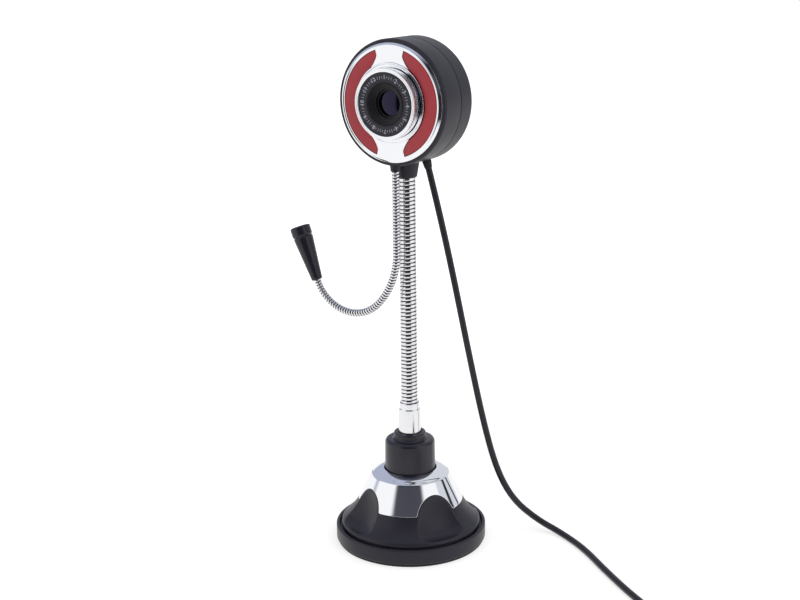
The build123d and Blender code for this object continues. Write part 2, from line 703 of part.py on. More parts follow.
def focus_ring():
    """Turning bright ring: a cup round the dial, a flange behind the face and a keyed hub."""
    web = FUNNEL_BACK - DIAL_SEAT
    shell = turned(
        (RING_R, SHELF_FRONT - CLEAR),
        (RING_R, RING_FRONT - 0.6),
        (RING_R - 0.6, RING_FRONT),
        (RING_R - 0.9, RING_FRONT),
        (RING_R - 1.1, RING_FRONT - 0.35),
        (RING_R - 1.4, RING_FRONT),
        (RING_R - RING_LIP + 0.2, RING_FRONT),
        (RING_R - RING_LIP, RING_FRONT - 0.2),
        (RING_R - RING_LIP, web),
        (HUB_BORE, web),
        (HUB_BORE, SHELF_BACK - 1.2),
        (HUB_R, SHELF_BACK - 1.2),
        (HUB_R, web - 1.6),
        (RING_R - RING_LIP, web - 1.6),
        (RING_R - RING_LIP, SHELF_BACK + CLEAR),
        (FLANGE_R, SHELF_BACK + CLEAR),
        (FLANGE_R, SHELF_FRONT - CLEAR),
    )
    slot = Pos(0, 0, SHELF_BACK) * Box(2 * HUB_R + 2, KEY_W + 2 * CLEAR, 5.2)
    return on_head(shell - slot)


def dial_ring():
    """Dark ring inside the focus ring, with a stepped funnel down to the lens."""
    front = RING_FRONT - DIAL_DROP
    steps = 4
    drop = (front - FUNNEL_BACK) / steps
    inward = (DIAL_BORE - FUNNEL_R) / steps
    stair = []
    for k in range(steps):
        stair.append((DIAL_BORE - k * inward, front - k * drop))
        stair.append((DIAL_BORE - k * inward - 0.25, front - (k + 1) * drop + 0.3))
    seat = FUNNEL_BACK - DIAL_SEAT
    return on_head(turned((DIAL_R, seat), (DIAL_R, front), *stair, (FUNNEL_R, seat)))


def ring_retainer():
    """Flat washer that keeps the focus ring's flange against the shelf."""
    washer = rod(SHELF_IN_R + 2.4, SHELF_BACK - 0.8, SHELF_BACK) - rod(RING_R - 3, 0, 20)
    for notch in around(BOARD_SCREWS, rod(PILLAR_R, 0, 20, BOARD_SCREW_R), BOARD_SCREW_FIRST):
        washer = washer - notch
    return on_head(washer)


HOLDER_TOP = 5.2
HOLDER_FOOT = BOARD_FRONT
FILTER_Z = HOLDER_FOOT + 2.0
BARREL_BACK = FILTER_Z + 1.4
GLASS_EDGE = BARREL_FRONT - 0.6
GLASS_BACK = BARREL_FRONT - 3.6
GLASS_RISE = 1.0


def lens_barrel():
    """Threaded barrel that carries the lenses, with two keys that the focus ring turns."""
    body = turned(
        (BARREL_THREAD_R, BARREL_BACK),
        (BARREL_THREAD_R, HOLDER_TOP + 1.6),
        (BARREL_R, HOLDER_TOP + 1.6),
        (BARREL_R, BARREL_FRONT),
        (LENS_R - BARREL_LIP, BARREL_FRONT),
        (LENS_R - BARREL_LIP, GLASS_EDGE),
        (LENS_R, GLASS_EDGE),
        (LENS_R, GLASS_BACK),
        (LENS_R - 2.2, GLASS_BACK),
        (LENS_R - 2.2, BARREL_BACK + 3.0),
        (LENS_R - 1.6, BARREL_BACK + 3.0),
        (LENS_R - 1.6, BARREL_BACK),
    )
    key = Pos(0, 0, SHELF_BACK) * Box(2 * KEY_REACH, KEY_W, 2.0) - rod(BARREL_R - 0.5, 0, 20)
    return on_head(body + key)


def front_lens():
    """Front glass: domed front, flat back."""
    reach = LENS_R - BARREL_LIP
    curve = (reach ** 2 + GLASS_RISE ** 2) / (2 * GLASS_RISE)
    top = GLASS_EDGE + GLASS_RISE
    dome = Pos(0, 0, top - curve) * Sphere(curve) & rod(reach, GLASS_EDGE, top)
    return on_head(rod(LENS_R, GLASS_BACK, GLASS_EDGE) + dome)


def rear_lens():
    """Rear glass at the sensor end of the barrel."""
    return on_head(rod(LENS_R - 1.6, BARREL_BACK + 0.6, BARREL_BACK + 3.0))


def lens_holder():
    """Square holder on the board with the threaded tube for the barrel."""
    block = Pos(0, 0, HOLDER_FOOT + HOLDER_BASE / 2) * Box(HOLDER, HOLDER, HOLDER_BASE)
    block = fillet(block.edges().filter_by(Axis.Z), 1.5)
    tube = rod(HOLDER_TUBE_R, HOLDER_FOOT + HOLDER_BASE, HOLDER_TOP)
    bore = rod(BARREL_THREAD_R + FIT, FILTER_Z + 0.6, HOLDER_TOP + 1)
    deep = FILTER_Z - HOLDER_FOOT
    wide = 2 * SENSOR_GAP
    well = Pos(0, 0, HOLDER_FOOT + deep / 2) * Box(SENSOR[0] + wide, SENSOR[1] + wide, deep)
    window = Pos(0, 0, FILTER_Z) * Box(FILTER[0], FILTER[1], 2 * FILTER[2] + CLEAR)
    return on_head(block + tube - bore - well - window)


def ir_filter():
    """Thin glass over the sensor, set in the holder."""
    return on_head(Pos(0, 0, FILTER_Z + FILTER[2] / 2) * Box(*FILTER))


def circuit_board():
    """Round board with a notch at the bottom for the wires, drilled for its screws."""
    board = rod(BOARD_R, BOARD_FRONT - BOARD_THICK, BOARD_FRONT)
    board = board - Pos(0, -BOARD_R, 0) * Box(*BOARD_NOTCH, 12)
    for hole in around(BOARD_SCREWS, rod(BOARD_SCREW / 2, -6, 3, BOARD_SCREW_R), BOARD_SCREW_FIRST):
        board = board - hole
    return on_head(board)


def image_sensor():
    """Sensor package on the front of the board."""
    return on_head(Pos(0, 0, BOARD_FRONT + SENSOR[2] / 2) * Box(*SENSOR))


def bridge_chip():
    """Square chip on the back of the board."""
    back = BOARD_FRONT - BOARD_THICK
    return on_head(Pos(*CHIP_AT, back - CHIP[2] / 2) * Box(*CHIP))


def crystal():
    """Metal crystal can beside the chip."""
    back = BOARD_FRONT - BOARD_THICK
    can = Pos(*CRYSTAL_AT, back - CRYSTAL[2] / 2) * Box(*CRYSTAL)
    return on_head(fillet(can.edges().filter_by(Axis.Z), 0.45 * CRYSTAL[0]))


def lead_socket():
    """Plug-in socket for the lead on the back of the board."""
    x, y = LEAD_SOCKET_AT
    back = BOARD_FRONT - BOARD_THICK
    low = back - LEAD_SOCKET[2]
    shell = Pos(x, y, (low + back) / 2) * Box(*LEAD_SOCKET)
    mouth = Pos(x, y - LEAD_SOCKET[1] / 3, low + 1.6) * Box(*LEAD_SOCKET_MOUTH)
    return on_head(shell - mouth)


def board_screws():
    """Screws that hold the board to its pillars."""
    back = BOARD_FRONT - BOARD_THICK
    screw = rod(BOARD_SCREW / 2, back, BOARD_FRONT + 4.0, BOARD_SCREW_R)
    screw = screw + rod(BOARD_SCREW, back - 1.3, back, BOARD_SCREW_R)
    return on_head(Compound(children=around(BOARD_SCREWS, screw, BOARD_SCREW_FIRST)))


def cover_screws():
    """Screws that close the drum from the back."""
    seat = REAR + SCREW_SINK
    screw = rod(COVER_SCREW / 2, seat, SEAM + 5.5, COVER_SCREW_R)
    screw = screw + rod(COVER_SCREW, seat - SCREW_HEAD, seat, COVER_SCREW_R)
    screw = screw - Pos(COVER_SCREW_R, 0, seat - SCREW_HEAD) * Box(0.6, 5, 1.2)
    return on_head(Compound(children=around(COVER_SCREWS, screw, COVER_SCREW_FIRST)))


# ---- what hangs under the head ------------------------------------------------------------------
SOCKET_R = NECK_R + SOCKET_LIP
SOCKET_TOP_R = SOCKET_R + SOCKET_FLARE
SOCKET_SPIGOT_R = NECK_R + SPIGOT_TOP_WALL
SOCKET_SPIGOT_TOP = HEAD_Z - DRUM_R + DRUM_WALL + 4.0
MIC_BOSS_R = MIC_HOSE_R + MIC_BOSS_WALL
MIC_BOSS_Z = HEAD_Z - DRUM_R - MIC_BOSS_LEN
CLAMP_R = MIC_HOSE_R + CLAMP_WALL


def neck_socket():
    """Tapered socket under the drum that holds the top of the neck, with a spigot up inside."""
    cup = turned(
        (0, SOCKET_Z),
        (SOCKET_R, SOCKET_Z),
        (SOCKET_TOP_R, HEAD_Z - DRUM_R),
        (SOCKET_TOP_R, HEAD_Z - DRUM_R + 1.5),
        (0, HEAD_Z - DRUM_R + 1.5),
    )
    spigot = rod(SOCKET_SPIGOT_R, HEAD_Z - DRUM_R, SOCKET_SPIGOT_TOP)
    hose = rod(NECK_R, SOCKET_Z - 1, NECK_TOP)
    return (cup - drum_cut()) + spigot - hose - rod(2.2, NECK_TOP - 1, SOCKET_SPIGOT_TOP + 1)


def neck_nut():
    """Nut inside the drum that pulls the neck socket up against it."""
    across = 2 * SOCKET_SPIGOT_R + 1.6
    corner = across / math.sqrt(3)
    seat = HEAD_Z - math.sqrt((DRUM_R - DRUM_WALL) ** 2 - corner ** 2)
    return hexagon(across, seat, seat + 2.6, SOCKET_SPIGOT_R)


def drum_holes():
    """Holes through the drum's wall for the neck, the lead and the microphone boom."""
    low = HEAD_Z - DRUM_R - 2
    high = HEAD_Z - DRUM_R + 6
    neck = rod(SOCKET_SPIGOT_R, low, high)
    boom = rod(MIC_HOSE_R, MIC_BOSS_Z - 1, high, 0, MIC_Y)
    clamp = rod(CLAMP_R, HEAD_Z - DRUM_R + DRUM_WALL, high, 0, MIC_Y)
    lead = lead_axis().location * Pos(0, 0, -4) * Cylinder(GROMMET_R - GROMMET_WAIST, 12)
    return neck + boom + clamp + lead


def mic_boss():
    """Short boss under the drum round the microphone boom."""
    low = HEAD_Z - DRUM_R
    outer = turned(
        (0, MIC_BOSS_Z), (MIC_BOSS_R, MIC_BOSS_Z), (MIC_BOSS_R + 0.35, low + 1.2), (0, low + 1.2))
    return Pos(0, MIC_Y, 0) * outer


def lead_axis():
    """Frame at the start of the lead, its Z along the lead's first run."""
    start = Vector(*ROUTE[0])
    run = Vector(*ROUTE[1]) - start
    return Plane(origin=start, x_dir=(1, 0, 0), z_dir=run)


def lead_grommet():
    """Rubber grommet where the lead leaves the drum."""
    sleeve = Pos(0, 0, -GROMMET_LEN / 2) * Cylinder(GROMMET_R - GROMMET_WAIST, GROMMET_LEN)
    lip = Pos(0, 0, -GROMMET_LIP / 2) * Cylinder(GROMMET_R, GROMMET_LIP)
    bore = Pos(0, 0, -3) * Cylinder(CABLE_R, 8)
    lip = (lead_axis().location * lip) - drum_cut()
    return lip + lead_axis().location * (sleeve - bore) - lead_axis().location * bore


def lead_tail():
    """The lead's end inside the drum, held by the grommet."""
    return lead_axis().location * Pos(0, 0, -4.5) * Cylinder(CABLE_R, 9)


# ---- microphone boom ----------------------------------------------------------------------------
MIC_GROOVE = MIC_HOSE_R * math.sin(math.radians(NECK_RANGE)) + CLEAR
MIC_TOP = HEAD_Z - DRUM_R + DRUM_WALL + 3.5


def boom_point(bend, angle):
    """Point on one of the boom's bends, where it travels at an angle from straight down."""
    first = MIC_BEND_R[0]
    if bend == 0:
        centre = (-first, MIC_STRAIGHT_END)
        radius = first
    else:
        turn = math.radians(MIC_BEND_TO[0])
        radius = MIC_BEND_R[1]
        centre = (
            -first + (first - radius) * math.cos(turn),
            MIC_STRAIGHT_END - (first - radius) * math.sin(turn))
    a = math.radians(angle)
    return (centre[0] + radius * math.cos(a), MIC_Y, centre[1] - radius * math.sin(a))


def boom_bend(bend, low, high):
    """Arc of one bend between two travel angles."""
    middle = (low + high) / 2
    return ThreePointArc(boom_point(bend, low), boom_point(bend, middle), boom_point(bend, high))


def boom_link(edges, socket, ball):
    """Thin hose along edges, with a ball socket cut in its start and a ball at its end."""
    path = Wire(edges)
    start = Plane(origin=path @ 0, z_dir=path % 0)
    link = sweep(start * Circle(MIC_HOSE_R), path=path)
    if ball:
        link = link + Pos(*ball) * Sphere(MIC_BALL_R)
    if socket:
        link = link - Pos(*socket) * Sphere(MIC_BALL_R + FIT)
    return link


def mic_hoses():
    """The five lengths of the boom from the drum to the microphone, in order."""
    first = (0, MIC_Y, MIC_PIVOT_Z[0])
    second = (0, MIC_Y, MIC_PIVOT_Z[1])
    third = boom_point(0, MIC_PIVOT_ANGLE[0])
    fourth = boom_point(1, MIC_PIVOT_ANGLE[1])
    near = [math.degrees(MIC_GROOVE / radius) for radius in MIC_BEND_R]
    bend_start = (0, MIC_Y, MIC_STRAIGHT_END)
    end = boom_point(1, MIC_BEND_TO[1])
    into = Vector(*end) + boom_end().z_dir * MIC_GRIP
    return [
        boom_link([Line((0, MIC_Y, MIC_TOP), (0, MIC_Y, first[2] + MIC_GROOVE))], None, first),
        boom_link([Line(first, (0, MIC_Y, second[2] + MIC_GROOVE))], first, second),
        boom_link(
            [Line(second, bend_start), boom_bend(0, 0, MIC_PIVOT_ANGLE[0] - near[0])],
            second, third),
        boom_link([boom_bend(1, MIC_BEND_TO[0], MIC_PIVOT_ANGLE[1] - near[1])], third, fourth),
        boom_link(
            [boom_bend(1, MIC_PIVOT_ANGLE[1], MIC_BEND_TO[1]), Line(end, into)], fourth, None),
    ]


def boom_end():
    """Frame at the microphone's foot, its Z along the microphone."""
    a = math.radians(MIC_BEND_TO[1])
    return Plane(
        origin=boom_point(1, MIC_BEND_TO[1]), x_dir=(0, 1, 0), z_dir=(-math.sin(a), 0, -math.cos(a)))


def at_mic(solid):
    """Put a solid drawn along +Z from the microphone's foot in its place."""
    return boom_end().location * solid


MIC_JOINT = MIC_LENGTH - MIC_CAP_LEN


def mic_housing():
    """Tapered microphone body with a bore for the boom and a seat for the capsule."""
    return at_mic(turned(
        (MIC_HOSE_R, 0),
        (MIC_FOOT_R - 0.3, 0),
        (MIC_FOOT_R, 0.6),
        (MIC_BODY_R, MIC_JOINT),
        (CAPSULE_R, MIC_JOINT),
        (CAPSULE_R, MIC_JOINT - CAPSULE_SEAT),
        (1.2, MIC_JOINT - CAPSULE_SEAT),
        (1.2, MIC_GRIP),
        (MIC_HOSE_R, MIC_GRIP),
    ))


def mic_capsule():
    """Round microphone capsule, half in the body and half in the cap."""
    low = MIC_JOINT - CAPSULE_SEAT
    return at_mic(rod(CAPSULE_R, low, low + CAPSULE_LEN))


def mic_cap():
    """Cap with a rounded edge and three sound slots."""
    top = MIC_LENGTH
    foot_r = MIC_CAP_R - MIC_STEP
    inner = MIC_CAP_R - MIC_CAP_WALL
    bend = MIC_CAP_ROUND
    side = Line((foot_r, MIC_JOINT), (MIC_CAP_R, top - bend))
    edge = TangentArc((MIC_CAP_R, top - bend), (MIC_CAP_R - bend, top), tangent=(0, 1))
    rest = Polyline(
        (MIC_CAP_R - bend, top),
        (0, top),
        (0, top - MIC_CAP_FLOOR),
        (inner, top - MIC_CAP_FLOOR),
        (inner, MIC_JOINT),
        (foot_r, MIC_JOINT),
    )
    cap = turned_edges(side, edge, *rest.edges())
    for k in MIC_SLOTS:
        cap = cap - Pos(0, MIC_SLOT_PITCH * k, top) * Box(*MIC_SLOT, 6)
    return at_mic(cap)


def mic_clamp():
    """Crimp ring that keeps the boom from pulling out of the drum."""
    low = HEAD_Z - DRUM_R + DRUM_WALL
    ring = rod(CLAMP_R, low + 0.6, low + 2.4, 0, MIC_Y) - rod(MIC_HOSE_R, low, low + 4, 0, MIC_Y)
    return ring - Pos(0, -SHELF_FRONT - 5, low) * Box(10, 10, 10)


# ---- lead ---------------------------------------------------------------------------------------
ROUTE = [
    (CABLE_EXIT[0], CABLE_EXIT[1], HEAD_Z - DRUM_R - CABLE_EXIT[2]),
    (9.9, 12.2, 183.4),
    (16.4, 16.8, 146.0),
    (23.2, 21.6, 102.4),
    (29.6, 26.0, 64.0),
    (35.5, 30.1, 36.0),
    (43.0, 35.4, 17.5),
    (54.5, 42.6, 5.5),
    (69.5, 41.5, CABLE_R),
    (88.5, 30.0, CABLE_R),
    (108.0, 13.0, CABLE_R),
    (131.0, -5.5, CABLE_R),
    (155.0, -21.5, CABLE_R),
]
STUB = 16.0                    # straight lead between the tube's end and the coil


def bend_radii(points):
    """Radius for each corner of a route, as large as its two runs allow."""
    spots = [Vector(*p) for p in points]
    radii = []
    for a, b, c in zip(spots, spots[1:], spots[2:]):
        turn = (b - a).get_angle(c - b)
        shorter = min((b - a).length, (c - b).length)
        radii.append(0.45 * shorter / math.tan(math.radians(turn / 2)))
    return radii


def usb_cord():
    """The lead from the head down to the table and along it to the coil."""
    radii = bend_radii(ROUTE)
    print("lead bend radii", [round(r, 1) for r in radii])
    path = FilletPolyline(*ROUTE, radius=radii)
    start = Plane(origin=path @ 0, z_dir=path % 0)
    tube = sweep(start * Circle(CABLE_R), path=path)
    section = math.pi * CABLE_R ** 2
    print("lead tube: length", round(path.length, 1), "volume", round(tube.volume, 1),
          "section x length", round(section * path.length, 1))
    return tube, path.length


COIL_OUT_R = COIL_MID_R + COIL_ACROSS * CABLE_R
COIL_EDGE_R = COIL_OUT_R - CABLE_R     # middle of the outermost turn
LAST_RUN = (Vector(*ROUTE[-1]) - Vector(*ROUTE[-2])).normalized()
COIL_SIDE = Vector(LAST_RUN.Y, -LAST_RUN.X, 0)
COIL_TOUCH = Vector(*ROUTE[-1]) + LAST_RUN * STUB
COIL_CENTRE = COIL_TOUCH + COIL_SIDE * COIL_EDGE_R
PLUG_Z = PLUG_BODY[1] / 2 + 0.2
PLUG_BEARING = Vector(0.139, -0.990, 0).normalized()     # from the coil's centre to where the plug end leaves
PLUG_RUN = Vector(PLUG_BEARING.Y, -PLUG_BEARING.X, 0)
PLUG_STUB = 18.0


def coil_layers(tube_length):
    """Layers of turns that hold the rest of the lead."""
    rest = CABLE_LEAD - tube_length - STUB - PLUG_STUB
    turns = rest / (2 * math.pi * COIL_MID_R)
    print("coil turns", round(turns, 2))
    return max(1, round(turns / COIL_ACROSS))


def usb_cord_coil(layers):
    """The put-away length as one ring, with the straight ends that join the lead and the plug."""
    height = 2 * CABLE_R * layers
    inner = COIL_MID_R - COIL_ACROSS * CABLE_R
    edge = 1.4
    ring = turned(
        (inner + edge, 0), (COIL_OUT_R - edge, 0), (COIL_OUT_R, edge), (COIL_OUT_R, height - edge),
        (COIL_OUT_R - edge, height), (inner + edge, height), (inner, height - edge), (inner, edge))
    ring = Pos(COIL_CENTRE.X, COIL_CENTRE.Y, 0) * ring
    lead_in = Plane(origin=ROUTE[-1], z_dir=LAST_RUN)
    ring = ring + extrude(lead_in * Circle(CABLE_R), STUB)
    leave = plug_start() - PLUG_RUN * PLUG_STUB
    ring = ring + extrude(Plane(origin=leave, z_dir=PLUG_RUN) * Circle(CABLE_R), PLUG_STUB)
    return ring


def plug_start():
    """Where the lead enters the plug's strain relief."""
    leave = COIL_CENTRE + PLUG_BEARING * COIL_EDGE_R
    return Vector(leave.X, leave.Y, PLUG_Z) + PLUG_RUN * PLUG_STUB


def at_plug(solid):
    """Put a solid drawn along +Z from the strain relief in its place, lying flat."""
    return Plane(origin=plug_start(), x_dir=PLUG_RUN.cross(Vector(0, 0, 1)), z_dir=PLUG_RUN).location * solid


def plug_body():
    """Moulded plug body with a tapered strain relief."""
    wide, thick, length = PLUG_BODY
    thin, full = RELIEF_WALL
    relief = turned((0, 0), (CABLE_R + thin, 0), (CABLE_R + full, RELIEF), (0, RELIEF))
    block = Pos(0, 0, RELIEF + length / 2) * Box(wide, thick, length)
    block = chamfer(block.edges().filter_by(Axis.Z), PLUG_CORNER)
    return at_plug(relief + block)


def plug_shell():
    """Folded metal shell of the plug, open at its end, with its two latch windows."""
    wide, thick, length = PLUG_SHELL
    low = RELIEF + PLUG_BODY[2]
    wall = PLUG_WALL
    shell = Pos(0, 0, low + length / 2) * Box(wide, thick, length)
    shell = shell - Pos(0, 0, low + length / 2 + wall) * Box(wide - 2 * wall, thick - 2 * wall, length)
    for side in (-1, 1):
        window = Box(PLUG_WINDOW[0], 2 * thick, PLUG_WINDOW[1])
        shell = shell - Pos(side * wide / 4, 0, low + length * 0.55) * window
    return at_plug(shell)


def plug_tongue():
    """Insulating tongue inside the shell."""
    wide, thick, length = PLUG_SHELL
    low = RELIEF + PLUG_BODY[2] + PLUG_WALL
    reach = length - PLUG_TONGUE_SHORT
    tongue = Pos(0, -0.9, low + reach / 2) * Box(wide - 2 * PLUG_WALL, PLUG_TONGUE, reach)
    return at_plug(tongue)


# ---- assembly -----------------------------------------------------------------------------------
def main():
    """Build every node and write it."""
    holes = drum_holes()
    cord, cord_length = usb_cord()
    nodes = {
        "base_ring": base_ring(),
        "suction_cup": suction_cup(),
        "twist_grip": twist_grip(),
        "crown_trim": crown_trim(),
        "stem_post": stem_post(),
        "stem_bush": stem_bush(),
        "cam_pin": pin(PIN_REACH),
        "cup_stud": cup_stud(),
        "stud_screw": stud_screw(),
        "lower_ferrule": lower_ferrule(),
        "ferrule_nut": hexagon(
            NUT_ACROSS, POST_TOP - PLATE_THICK - NUT_THICK, POST_TOP - PLATE_THICK, SPIGOT_R),
        "front_housing": front_housing() + (mic_boss() - drum_cut()) - holes,
        "rear_cover": rear_cover() - holes,
        "faceplate": faceplate(),
        "red_insert_left": red_insert(-1),
        "red_insert_right": red_insert(1),
        "focus_ring": focus_ring(),
        "dial_ring": dial_ring(),
        "ring_retainer": ring_retainer(),
        "lens_barrel": lens_barrel(),
        "front_lens": front_lens(),
        "rear_lens": rear_lens(),
        "lens_holder": lens_holder(),
        "ir_filter": ir_filter(),
        "image_sensor": image_sensor(),
        "circuit_board": circuit_board(),
        "bridge_chip": bridge_chip(),
        "crystal": crystal(),
        "lead_socket": lead_socket(),
        "board_screws": board_screws(),
        "cover_screws": cover_screws(),
        "neck_socket": neck_socket(),
        "neck_nut": neck_nut(),
        "lead_grommet": lead_grommet(),
        "lead_tail": lead_tail(),
        "mic_clamp": mic_clamp(),
        "mic_housing": mic_housing(),
        "mic_capsule": mic_capsule(),
        "mic_cap": mic_cap(),
        "usb_cord": cord,
        "usb_cord_coil": usb_cord_coil(coil_layers(cord_length)),
        "plug_body": plug_body(),
        "plug_shell": plug_shell(),
        "plug_tongue": plug_tongue(),
    }
    for k, link in enumerate(neck_hoses(), 1):
        nodes[f"neck_hose_{k}"] = link
    for k, link in enumerate(mic_hoses(), 1):
        nodes[f"mic_hose_{k}"] = link
    for name, shape in nodes.items():
        save(name, shape)


main()
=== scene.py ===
"""Looks of a webcam on a gooseneck stand: plated, moulded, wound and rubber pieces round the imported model."""
import json
import math

import bpy
from mathutils import Matrix, Vector
from mathutils.geometry import interpolate_bezier


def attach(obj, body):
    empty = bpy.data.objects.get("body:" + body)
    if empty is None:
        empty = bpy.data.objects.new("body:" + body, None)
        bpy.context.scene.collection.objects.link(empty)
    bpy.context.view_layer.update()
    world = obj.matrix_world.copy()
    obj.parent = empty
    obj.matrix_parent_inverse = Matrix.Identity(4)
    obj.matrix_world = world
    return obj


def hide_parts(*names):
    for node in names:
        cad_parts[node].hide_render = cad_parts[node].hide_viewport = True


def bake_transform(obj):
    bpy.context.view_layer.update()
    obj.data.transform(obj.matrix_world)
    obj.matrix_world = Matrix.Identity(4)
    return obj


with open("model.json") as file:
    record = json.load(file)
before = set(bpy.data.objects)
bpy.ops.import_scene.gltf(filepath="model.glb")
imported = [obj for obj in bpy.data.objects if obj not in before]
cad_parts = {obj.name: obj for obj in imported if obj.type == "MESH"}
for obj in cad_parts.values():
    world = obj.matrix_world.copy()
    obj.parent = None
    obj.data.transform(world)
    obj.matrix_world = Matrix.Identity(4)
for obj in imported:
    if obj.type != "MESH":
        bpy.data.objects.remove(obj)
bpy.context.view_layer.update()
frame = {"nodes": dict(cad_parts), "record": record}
MM = 0.001
WELD = 0.002 * MM  # points nearer than this are one point
FULL_TURN = 2 * math.pi
SLOT_OF = {row["node"]: row["material_slot"] for row in frame["record"]["subparts"]}
BODY_OF = {node: body for body, nodes in frame["record"]["behaviour"]["bodies"].items() for node in nodes}


# ---- drawing helpers: outlines and sizes are millimetres, meshes are metres ----
def clear_selection():
    """Deselect everything, so that the next operator acts on its own piece alone."""
    if bpy.context.object and bpy.context.object.mode != "OBJECT":
        bpy.ops.object.mode_set(mode="OBJECT")
    bpy.ops.object.select_all(action="DESELECT")


def pick(piece):
    """Make one piece the selected and active object."""
    clear_selection()
    piece.select_set(True)
    bpy.context.view_layer.objects.active = piece
    return piece


def named(name):
    """Name the active object and its mesh."""
    piece = bpy.context.object
    piece.name = name
    piece.data.name = name
    return piece


def settle(piece):
    """Put the object's place into its mesh, so that the object sits at the origin."""
    pick(piece)
    bpy.ops.object.transform_apply(location=True, rotation=True, scale=True)
    return piece


def modify(piece, kind, **settings):
    """Add a modifier, set it and apply it."""
    pick(piece)
    made = piece.modifiers.new(kind.title(), kind)
    for name, value in settings.items():
        setattr(made, name, value)
    bpy.ops.object.modifier_apply(modifier=made.name)
    return piece


def reshape(piece, *steps):
    """Run mesh operators, each with its settings, on the whole of a piece."""
    pick(piece)
    bpy.ops.object.mode_set(mode="EDIT")
    bpy.ops.mesh.select_all(action="SELECT")
    for operator, settings in steps:
        operator(**settings)
    bpy.ops.object.mode_set(mode="OBJECT")
    return piece


def smooth(piece, angle=35.0):
    """Shade smooth except across edges sharper than an angle."""
    pick(piece)
    bpy.ops.object.shade_smooth_by_angle(angle=math.radians(angle))
    return piece


def round_edges(piece, width, angle=40.0, segments=2):
    """Round the edges that are sharper than an angle."""
    modify(piece, "BEVEL", width=width * MM, segments=segments, limit_method="ANGLE",
           angle_limit=math.radians(angle), use_clamp_overlap=True, miter_outer="MITER_ARC")
    return smooth(piece, 50.0)


def tidy_mesh(piece):
    """Merge doubled points and turn every face outwards."""
    return reshape(piece, (bpy.ops.mesh.remove_doubles, {"threshold": WELD}),
                   (bpy.ops.mesh.normals_make_consistent, {"inside": False}))


def edge_chain(name, points):
    """An open chain of edges, drawn by extruding one vertex from point to point."""
    clear_selection()
    bpy.ops.mesh.primitive_plane_add(size=MM, location=points[0])
    piece = named(name)
    bpy.ops.object.mode_set(mode="EDIT")
    bpy.ops.mesh.merge(type="CENTER")
    for here, there in zip(points, points[1:]):
        step = Vector(there) - Vector(here)
        bpy.ops.mesh.extrude_region_move(TRANSFORM_OT_translate={"value": step})
    bpy.ops.object.mode_set(mode="OBJECT")
    return settle(piece)


def turned(name, outline, place=Matrix(), steps=192):
    """A turned piece: an outline of (radius, height), spun about the Z axis of its place."""
    piece = edge_chain(name, [place @ Vector((r * MM, 0, z * MM)) for r, z in outline])
    reshape(piece, (bpy.ops.mesh.spin, {"steps": steps, "angle": FULL_TURN, "center": place.translation,
                                        "axis": place.to_3x3().col[2]}))
    return smooth(tidy_mesh(piece))


def rounded(*corners, steps=5, shut=True):
    """An outline through (radius, height) corners; a third number rounds that corner to a radius."""
    points = []
    last = len(corners) - 1
    for k, corner in enumerate(corners):
        here = Vector((corner[0], 0, corner[1]))
        if len(corner) < 3 or (not shut and k in (0, last)):
            points.append((here.x, here.z))
            continue
        before = Vector((corners[k - 1][0], 0, corners[k - 1][1])) - here
        after = corners[(k + 1) % (last + 1)]
        after = Vector((after[0], 0, after[1])) - here
        half = before.angle(after) / 2
        back = min(corner[2] / math.tan(half), 0.48 * before.length, 0.48 * after.length)
        before.normalize()
        after.normalize()
        centre = here + (before + after).normalized() * back / math.cos(half)
        start = here + before * back - centre
        bow = (here - centre).normalized() * start.length
        sweep = start.angle(bow)
        across = (after - before).normalized() * start.length
        for j in range(steps + 1):
            turn = sweep * (2 * j / steps - 1)
            spot = centre + bow * math.cos(turn) + across * math.sin(turn)
            points.append((spot.x, spot.z))
    if shut:
        points.append(points[0])
    return points


def tangent_arc(start, heading, end, steps):
    """Points of the arc that leaves a start in a heading and reaches an end."""
    start, end, heading = Vector(start), Vector(end), Vector(heading).normalized()
    chord = end - start
    side = Vector((-heading.y, heading.x))
    centre = start + side * chord.length_squared / (2 * chord.dot(side))
    sweep = 2 * heading.angle_signed(chord)
    turns = [Matrix.Rotation(-sweep * k / steps, 2) for k in range(steps + 1)]
    return [tuple(centre + turn @ (start - centre)) for turn in turns]


def prism(name, outline, low, high, place):
    """A straight-sided block over a flat outline of (x, y), between two heights of its place."""
    piece = edge_chain(name, [place @ Vector((x * MM, y * MM, low * MM)) for x, y in outline])
    rise = place.to_3x3() @ Vector((0, 0, (high - low) * MM))
    reshape(piece, (bpy.ops.mesh.remove_doubles, {"threshold": WELD}), (bpy.ops.mesh.edge_face_add, {}),
            (bpy.ops.mesh.extrude_region_move, {"TRANSFORM_OT_translate": {"value": rise}}))
    return tidy_mesh(piece)


def copy_of(piece, name):
    """A copy of a piece with a mesh of its own."""
    made = piece.copy()
    made.data = piece.data.copy()
    made.name = name
    made.data.name = name
    bpy.context.scene.collection.objects.link(made)
    return made


def block(place, size):
    """A block of a size about its place, to cut with or to print."""
    clear_selection()
    bpy.ops.mesh.primitive_cube_add(size=MM, scale=size)
    made = bpy.context.object
    made.matrix_world = place
    return settle(made)


def cut(piece, cutter):
    """Cut one solid out of a piece and take the cutter away."""
    modify(piece, "BOOLEAN", operation="DIFFERENCE", object=cutter, solver="EXACT")
    bpy.data.objects.remove(cutter)


def slice_off(piece, height, side):
    """Cut a piece flat at a height, drop what lies above it (side 1) or below it (-1) and close the cut."""
    reshape(piece, (bpy.ops.mesh.bisect, {"plane_co": (0, 0, height * MM), "plane_no": (0, 0, side),
                                          "use_fill": True, "clear_outer": True}))


def moved(piece, shift):
    """Move each vertex to where a function puts it."""
    for vertex in piece.data.vertices:
        vertex.co = shift(vertex.co)
    return piece


